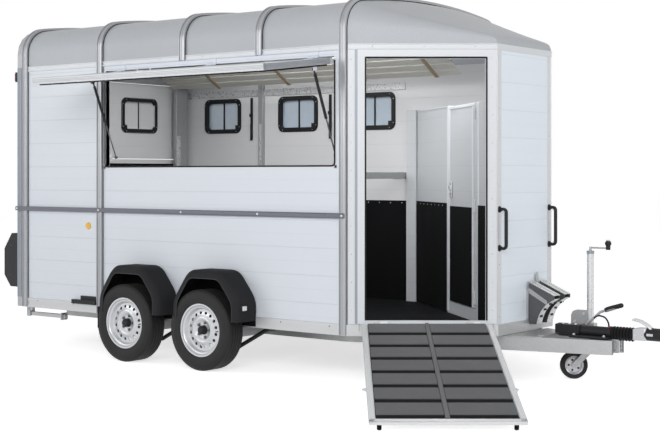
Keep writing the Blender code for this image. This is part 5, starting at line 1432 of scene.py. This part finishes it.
def rear_trim():
    plate = Shape()
    plate.plate(rounded_box(0.50, 0.11, 0.010), 0.0, 0.003)
    work = plate.work
    turn = basis(at(REAR - 0.003, 0.0, 0.66), (0, -1, 0), (0, 0, 1))
    bmesh.ops.transform(work, matrix=turn @ BASE.inverted(), verts=work.verts)
    show("blank_plate", plate, F["white"], "rear_ramp")
    latches = Shape()
    for side in (RIGHT, LEFT):
        y = side * (HALF - 0.16)
        latches.block((REAR - 0.012, y - 0.022, 1.44), (REAR - 0.0003, y + 0.022, 1.60))
        latches.rod((REAR - 0.020, y, 1.38), (REAR - 0.020, y, 1.58), 0.008, 12)
        latches.ball((REAR - 0.020, y, 1.375), 0.013)
    show("rear_ramp_latches", latches, F["bright"], "rear_ramp", soft=0.001)
    grip = Shape()
    run = [(REAR, -0.14, 1.36), (REAR - 0.05, -0.14, 1.36), (REAR - 0.05, 0.14, 1.36), (REAR, 0.14, 1.36)]
    grip.tube(fillet(run, 0.03), 0.011, 12)
    show("rear_ramp_grip", grip, F["plastic"], "rear_ramp")
    bolts = Shape()
    bolts.rod((REAR - 0.014, -0.03, 1.70), (REAR - 0.014, -0.03, 2.26), 0.007, 12)
    for z in (1.74, 1.98, 2.22):
        bolts.block((REAR - 0.018, -0.045, z - 0.02), (REAR - 0.0003, -0.015, z + 0.02))
    bolts.block((REAR - 0.028, -0.05, 1.93), (REAR - 0.018, 0.01, 1.96))
    show("rear_door_bolt", bolts, F["bright"], "rear_door_right", soft=0.001)
    inside = Shape()
    inside.block((REAR + 0.037, -HALF + 0.14, 0.48), (REAR + 0.041, HALF - 0.14, 1.58))
    show("rear_ramp_lining", inside, F["rubber"], "rear_ramp")
    cleats = Shape()
    for i in range(7):
        z = 0.58 + i * 0.145
        cleats.block((REAR + 0.041, -HALF + 0.16, z), (REAR + 0.054, HALF - 0.16, z + 0.025))
    show("rear_ramp_cleats", cleats, F["rubber"], "rear_ramp", soft=0.004)
    buffers = Shape()
    for side in (RIGHT, LEFT):
        y = side * (HALF - 0.045)
        buffers.rod((REAR, y, 1.10), (REAR - 0.02, y, 1.10), 0.022, 18, 0.016)
    show("rear_buffers", buffers, F["rubber"])


def rear_lamps():
    rear_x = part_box("rear_lamp_right")[0].x - CORNER_X
    profile = [(REAR, 0.50), (REAR, 0.966), (-3.665, 0.966)]
    profile += [(rear_x, 0.83), (rear_x, 0.60), (-3.68, 0.50)]
    tiers = (
        # lens, lower edge, upper edge
        ("red", 0.610, 0.660),
        ("clear", 0.665, 0.715),
        ("amber", 0.720, 0.770),
        ("red", 0.775, 0.820),
    )
    for word, side in SIDES:
        case = Shape()
        case.skin([[(x, side * y, z) for x, z in profile] for y in (0.958, 1.0415)])
        node = "rear_lamp_" + word
        show("lamp_case_" + word, case, F["lamp_grey"], soft=0.006, replaces=(node,))
        y0, y1 = side * (HALF - 0.016), side * (HALF - 0.069)
        for number, (colour, z0, z1) in enumerate(tiers, 1):
            face = Shape()
            face.block((rear_x, y0 - side * 0.004, z0), (rear_x + 0.004, y1 + side * 0.004, z1))
            show(f"lamp_lens_{word}_{number}", face, F[colour])
        x = rear_x + 0.095
        screws = Shape()
        for z in (0.60, 0.86):
            screws.screw((x, side * HALF, z), (0, side, 0), 0.005)
        show("lamp_screws_" + word, screws, F["dull"])


# Drawbar


def coupling():
    """Overrun housing with its bellows, the head, its handle and the handbrake's grip."""
    z = COUPLING_HEIGHT
    housing = Shape()
    housing.rod((1.11, 0, z), (1.54, 0, z), 0.040, 32)
    for x in (1.13, 1.52):
        housing.rod((x - 0.018, 0, z), (x + 0.018, 0, z), 0.046, 32)
    housing.block((1.13, -0.035, RAIL_TOP), (1.233, 0.035, z + 0.02))
    housing.block((1.11, -0.050, 0.345), (1.30, 0.050, 0.412))
    housing.block((1.24, -0.085, RAIL_TOP), (1.54, 0.085, 0.345))
    for y in (-0.085, 0.085):
        housing.rod((1.24, y, 0.336), (1.54, y, 0.336), 0.010, 14)
    show("coupling_case", housing, F["plastic"], soft=0.005, replaces=("coupling_housing",))
    gaiter = Shape(basis(at(1.538, 0, z), (0, 1, 0), (0, 0, 1)))
    profile = [(0.0, 0.0)]
    ribs, length = 7, 0.162
    for i in range(ribs):
        for k in range(8):
            angle = math.tau * k / 8
            profile.append((0.042 - 0.008 * math.cos(angle), length * (i + k / 8) / ribs))
    profile += [(0.027, length), (0.0, length)]
    gaiter.turned(profile, 36)
    show("coupling_gaiter", gaiter, F["seal"])
    bolts = Shape()
    for x in (1.27, 1.50):
        for y in (-0.066, 0.066):
            bolts.nut((x, y, 0.345), (0, 0, 1), 0.011, 0.008)
    for x in (1.15, 1.20, 1.25):
        bolts.screw((x, 0.0, 0.412), (0, 0, 1), 0.010, 0.006)
    show("coupling_bolts", bolts, F["bright"])
    nose = Shape(basis(at(1.784, 0, 0.380), (0, 1, 0), (0, 0, 1)))
    cap = [(0.0, 0.0), (0.040, 0.0), (0.0445, 0.010), (0.0445, 0.120)]
    cap += [(0.040, 0.150), (0.028, 0.168), (0.0, 0.1755)]
    nose.turned(cap, 32)
    show("coupling_nose", nose, F["plastic"])
    head = Shape()
    line = [(1.7005, 0.3355), (1.7005, 0.412), (1.730, 0.4235), (1.800, 0.4235), (1.800, 0.3355)]
    head.skin([[(x, y, z) for x, z in line] for y in (-0.041, 0.041)])
    head.block((1.80, -0.0447, 0.366), (1.86, 0.0447, 0.394))
    show("coupling_casting", head, F["silver"], soft=0.008, replaces=("coupling_head",))
    collar = Shape()
    for y in (-1, 1):
        for x in (1.722, 1.776):
            collar.nut((x, y * 0.041, z), (0, y, 0), 0.009, 0.003)
    show("coupling_collar", collar, F["bright"])
    grip = Shape()
    for y in (-0.018, 0.018):
        run = [(1.845, y, z + 0.030), (1.805, y, z + 0.068), (1.745, y, z + 0.098), (1.700, y, z + 0.104)]
        grip.tube(fillet(run, 0.03), 0.0085, 12)
    grip.rod((1.700, -0.026, z + 0.104), (1.700, 0.026, z + 0.104), 0.0095, 14)
    grip.rod((1.845, -0.026, z + 0.030), (1.845, 0.026, z + 0.030), 0.009, 12)
    show("coupling_grip", grip, F["bright"])
    hose = Shape()
    run = [(1.415, -0.045, 0.470), (1.445, -0.040, 0.492), (1.495, -0.030, 0.480)]
    run += [(1.515, -0.020, 0.440), (1.515, -0.015, 0.405)]
    hose.tube(fillet(run, 0.03), 0.006, 10)
    show("breakaway_cable", hose, F["seal"])
    caps = Shape()
    caps.rod((1.515, -0.015, 0.404), (1.515, -0.015, 0.418), 0.009, 14)
    show("breakaway_cap", caps, F["red"])
    bracket = Shape()
    for y in (-0.03, 0.03):
        bracket.block((1.545, y - 0.003, 0.240), (1.592, y + 0.003, 0.330))
    bracket.block((1.545, -0.033, 0.236), (1.592, 0.033, 0.242))
    bracket.rod((1.585, 0, 0.232), (1.585, 0, 0.330), 0.006, 12)
    show("coupling_bracket", bracket, F["bright"], soft=0.001)
    grips = Shape()
    lever = [(1.455, LEVER_Y, 0.520), (1.480, LEVER_Y, 0.532), (1.575, LEVER_Y, 0.560)]
    grips.tube(fillet(lever, 0.02), 0.0168, 18)
    grips.ball(lever[-1], 0.0168)
    show("lever_grip", grips, F["plastic"])


def drawbar():
    """Deck plate, the jockey wheel's clamp and tube, and the crank's knob."""
    deck = Shape()
    outline = [(0.8525, -0.31), (1.10, -0.225), (1.10, 0.225), (0.8525, 0.31)]
    deck.plate(outline, RAIL_TOP, RAIL_TOP + 0.004)
    deck.block((1.06, -0.20, 0.3303), (1.10, 0.20, 0.340))
    show("drawbar_deck", deck, F["zinc"], soft=0.001)
    clamp = Shape()
    outline = [(1.085, 0.378), (1.222, 0.378), (1.222, 0.488)]
    outline += [(1.125, 0.488), (1.098, 0.476), (1.085, 0.450)]
    for y in (0.245, 0.268):
        clamp.skin([[(x, y + dy, z) for x, z in outline] for dy in (0.0, 0.005)])
    show("jockey_clamp_plates", clamp, F["zinc"], soft=0.001)
    bolts = Shape()
    for x, z in ((1.118, 0.405), (1.190, 0.462)):
        bolts.nut((x, 0.245, z), (0, -1, 0), 0.011, 0.007)
    show("jockey_clamp_bolts", bolts, F["bright"])
    head = Shape()
    x, y = JOCKEY_X, JOCKEY_Y
    head.rod((x, y, 0.905), (x, y, 0.926), 0.027, 28)
    head.block((x - 0.012, y + 0.020, 0.860), (x + 0.012, y + 0.034, 0.915))
    show("jockey_head", head, F["grey_edge"], soft=0.002)
    knob = Shape()
    end = x + CRANK_REACH
    knob.rod((end, y, 0.936), (end, y, 0.978), 0.0162, 20, 0.0172)
    knob.ball((end, y, 0.982), 0.0235, (1, 1, 0.95))
    show("crank_knob", knob, F["plastic"])
    tube = Shape()
    tube.rod((x, y, 0.361), (x, y, 0.904), 0.0246, 32)
    show("jockey_tube_skin", tube, F["bright"])


def jockey_wheel():
    centre, axis = joint("jockey_wheel_spin")
    place = basis(centre, axis.cross(Vector((0, 0, 1))), (0, 0, 1))
    tyre = Shape(place)
    profile = [
        (0.066, 0.022),
        (0.078, 0.029),
        (0.090, 0.029),
        (0.097, 0.023),
        (0.0998, 0.012),
        (0.0998, -0.012),
        (0.097, -0.023),
        (0.090, -0.029),
        (0.078, -0.029),
        (0.066, -0.022),
    ]
    tyre.turned(profile, 48)
    show("jockey_tyre", tyre, F["tyre"], "jockey_wheel", replaces=("jockey_wheel",))
    rim = Shape(place)
    rim.turned(
        [
            (0.0085, 0.028),
            (0.020, 0.028),
            (0.022, 0.008),
            (0.052, 0.006),
            (0.056, 0.020),
            (0.067, 0.026),
            (0.067, -0.026),
            (0.056, -0.020),
            (0.052, -0.006),
            (0.022, -0.008),
            (0.020, -0.028),
            (0.0085, -0.028),
        ],
        40,
    )
    show("jockey_rim", rim, F["silver"], "jockey_wheel")
    # Black discs on both faces where the rim's holes are: painted shade for the openings, which are not
    # cut.
    holes = Shape(place)
    for i in range(5):
        angle = math.tau * i / 5
        x, y = 0.038 * math.cos(angle), 0.038 * math.sin(angle)
        for way in (-1, 1):
            holes.rod((x, y, way * 0.006), (x, y, way * 0.0085), 0.008, 14)
    show("jockey_rim_hole_shade", holes, F["seal"], "jockey_wheel")


def chocks():
    """Folded steel chocks: two cheeks, a curved face with slots, in their holders."""
    back, bottom, top = NOSE_LENGTH + 0.017, 0.385, 0.690
    nose, lip = (NOSE_LENGTH + 0.222, 0.600), (NOSE_LENGTH + 0.222, 0.572)
    heel = (back + 0.059, bottom)
    curve = []
    for k in range(13):
        t = k / 12
        sag = 0.032 * 4 * t * (1 - t)
        x = lip[0] + (heel[0] - lip[0]) * t - 0.76 * sag
        z = lip[1] + (heel[1] - lip[1]) * t + 0.65 * sag
        curve.append((x, z))
    outline = [(back, bottom), (back, top), nose] + curve
    steel, face, dark = Shape(), Shape(), Shape()
    for y in (0.030, 0.190):
        for y0 in (y, y + 0.086):
            steel.skin([[(x, y0, z) for x, z in outline], [(x, y0 + 0.004, z) for x, z in outline]])
        y0, y1 = y + 0.004, y + 0.086
        face.skin(
            [
                [(x, y0, z), (x, y1, z), (x - 0.004, y1, z + 0.004), (x - 0.004, y0, z + 0.004)]
                for x, z in curve
            ]
        )
        for y0 in (y, y + 0.050):
            face.skin(
                [
                    [(x, y0, z), (x, y0 + 0.040, z), (x, y0 + 0.040, z - 0.004), (x, y0, z - 0.004)]
                    for (x, z) in ((back, top + 0.003), (nose[0], nose[1] + 0.003))
                ]
            )
        # Black blocks at the slots and inside the back of each chock: painted shade where the openings and
        # the hollow inside look dark.
        for k in (3, 6, 9):
            x, z = curve[k]
            dark.block((x - 0.001, y + 0.028, z - 0.012), (x + 0.0025, y + 0.062, z + 0.006))
        dark.block((back, y + 0.032, bottom + 0.02), (back + 0.05, y + 0.058, top - 0.06))
    show("chock_cheeks", steel, F["dull"], soft=0.0008, replaces=("wheel_chocks",))
    show("chock_faces", face, F["bright"])
    show("chock_slot_shade", dark, F["seal"])
    holder = Shape()
    front = NOSE_LENGTH + 0.016
    holder.block((NOSE_LENGTH + 0.0003, 0.020, 0.4163), (front, 0.290, 0.640))
    holder.block((NOSE_LENGTH + 0.0126, 0.140, 0.376), (front + 0.006, 0.175, 0.690))
    tip = [(0.140, 0.690), (0.175, 0.690), (0.175, 0.735), (0.1575, 0.760), (0.140, 0.735)]
    holder.skin([[(x, y, z) for y, z in tip] for x in (NOSE_LENGTH + 0.010, front)])
    for y in (0.0255, 0.1855):
        strap = [(back, 0.650), (back + 0.150, 0.560), (back + 0.150, 0.530), (back, 0.610)]
        for y0 in (y, y + 0.0955):
            holder.skin([[(x, y0, z) for x, z in strap], [(x, y0 + 0.003, z) for x, z in strap]])
    show("chock_holders", holder, F["zinc"], soft=0.0008)


# Studio


CAMERA = (5.706, -8.651, 1.481)
AZIMUTH = 37.6
LENS = 73.4
SHIFT_Y = -0.0645
SKY_LIGHT = 0.31
FLOOR_LIFT = 0.67
LAMPS = (
    # name, place, aim, size, power
    ("key", (4.5, -9.5, 4.6), (-0.8, 0.0, 1.0), (6.0, 3.5), 500),
    ("side_fill", (-6.5, -7.5, 3.4), (-1.5, 0.0, 1.2), (5.0, 3.0), 150),
    ("front_fill", (8.0, 1.5, 3.4), (0.5, 0.0, 1.0), (4.0, 3.0), 120),
    ("stall_light", (-1.6, -0.1, 2.60), (-1.6, 0.0, 0.4), (2.4, 1.2), 34),
    ("tack_light", (0.25, 0.05, 2.40), (0.25, 0.0, 0.4), (0.5, 0.5), 8),
)


def studio():
    scene = bpy.context.scene
    scene.view_settings.view_transform = "Standard"
    world = bpy.data.worlds.new("studio")
    scene.world = world
    world.use_nodes = True
    sky = Nodes(world.node_tree)
    background = sky.tree.nodes["Background"]
    background.inputs["Color"].default_value = (1.0, 1.0, 1.0, 1.0)
    sky.feed(background.inputs["Strength"], SKY_LIGHT + sky.seen() * (1.0 - SKY_LIGHT))
    floor_shape = Shape()
    floor_shape.block((-30, -30, -0.05), (30, 30, 0.0))
    floor = bpy.data.objects.new("studio_floor", floor_shape.mesh())
    scene.collection.objects.link(floor)
    floor.data.materials.append(floor_finish())
    for name, place, aim, size, power in LAMPS:
        data = bpy.data.lights.new(name, "AREA")
        data.shape = "RECTANGLE"
        data.size, data.size_y = size
        data.energy = power
        lamp = bpy.data.objects.new(name, data)
        lamp.location = at(*place)
        way = at(*aim) - lamp.location
        lamp.rotation_euler = way.to_track_quat("-Z", "Y").to_euler()
        lamp.visible_camera = False
        scene.collection.objects.link(lamp)
    data = bpy.data.cameras.new("camera")
    data.sensor_width = 36.0
    data.lens = LENS
    data.shift_y = SHIFT_Y
    data.clip_end = 200.0
    camera = bpy.data.objects.new("camera", data)
    camera.location = at(*CAMERA)
    look = Vector((-math.sin(math.radians(AZIMUTH)), math.cos(math.radians(AZIMUTH)), 0))
    camera.rotation_euler = look.to_track_quat("-Z", "Y").to_euler()
    scene.collection.objects.link(camera)
    scene.camera = camera


def floor_finish():
    """White floor that stays white to the camera and still takes the shadow."""
    finish = Finish("studio_floor", (0.90, 0.90, 0.90), 0.9)
    glow = finish.node("ShaderNodeEmission", None, {"Color": (1, 1, 1, 1), "Strength": FLOOR_LIFT})
    both = finish.node("ShaderNodeAddShader", None, {0: finish.shader.outputs[0], 1: glow.outputs[0]})
    pick = finish.node(
        "ShaderNodeMixShader", None, {0: finish.seen(), 1: finish.shader.outputs[0], 2: both.outputs[0]}
    )
    output = finish.tree.nodes["Material Output"]
    finish.feed(output.inputs["Surface"], pick.outputs[0])
    return finish.material


def main():
    dress_solids()
    roof_shell()
    roof_hoops()
    roof_nose()
    cant_rails()
    side_trim()
    windows()
    hatch_flap()
    hatch_frame()
    struts()
    doorway()
    front_trim()
    wheels()
    mudguards()
    side_ramp()
    stall()
    breast_bar_fittings()
    tack_room()
    rear_trim()
    rear_lamps()
    coupling()
    drawbar()
    jockey_wheel()
    chocks()
    studio()


main()
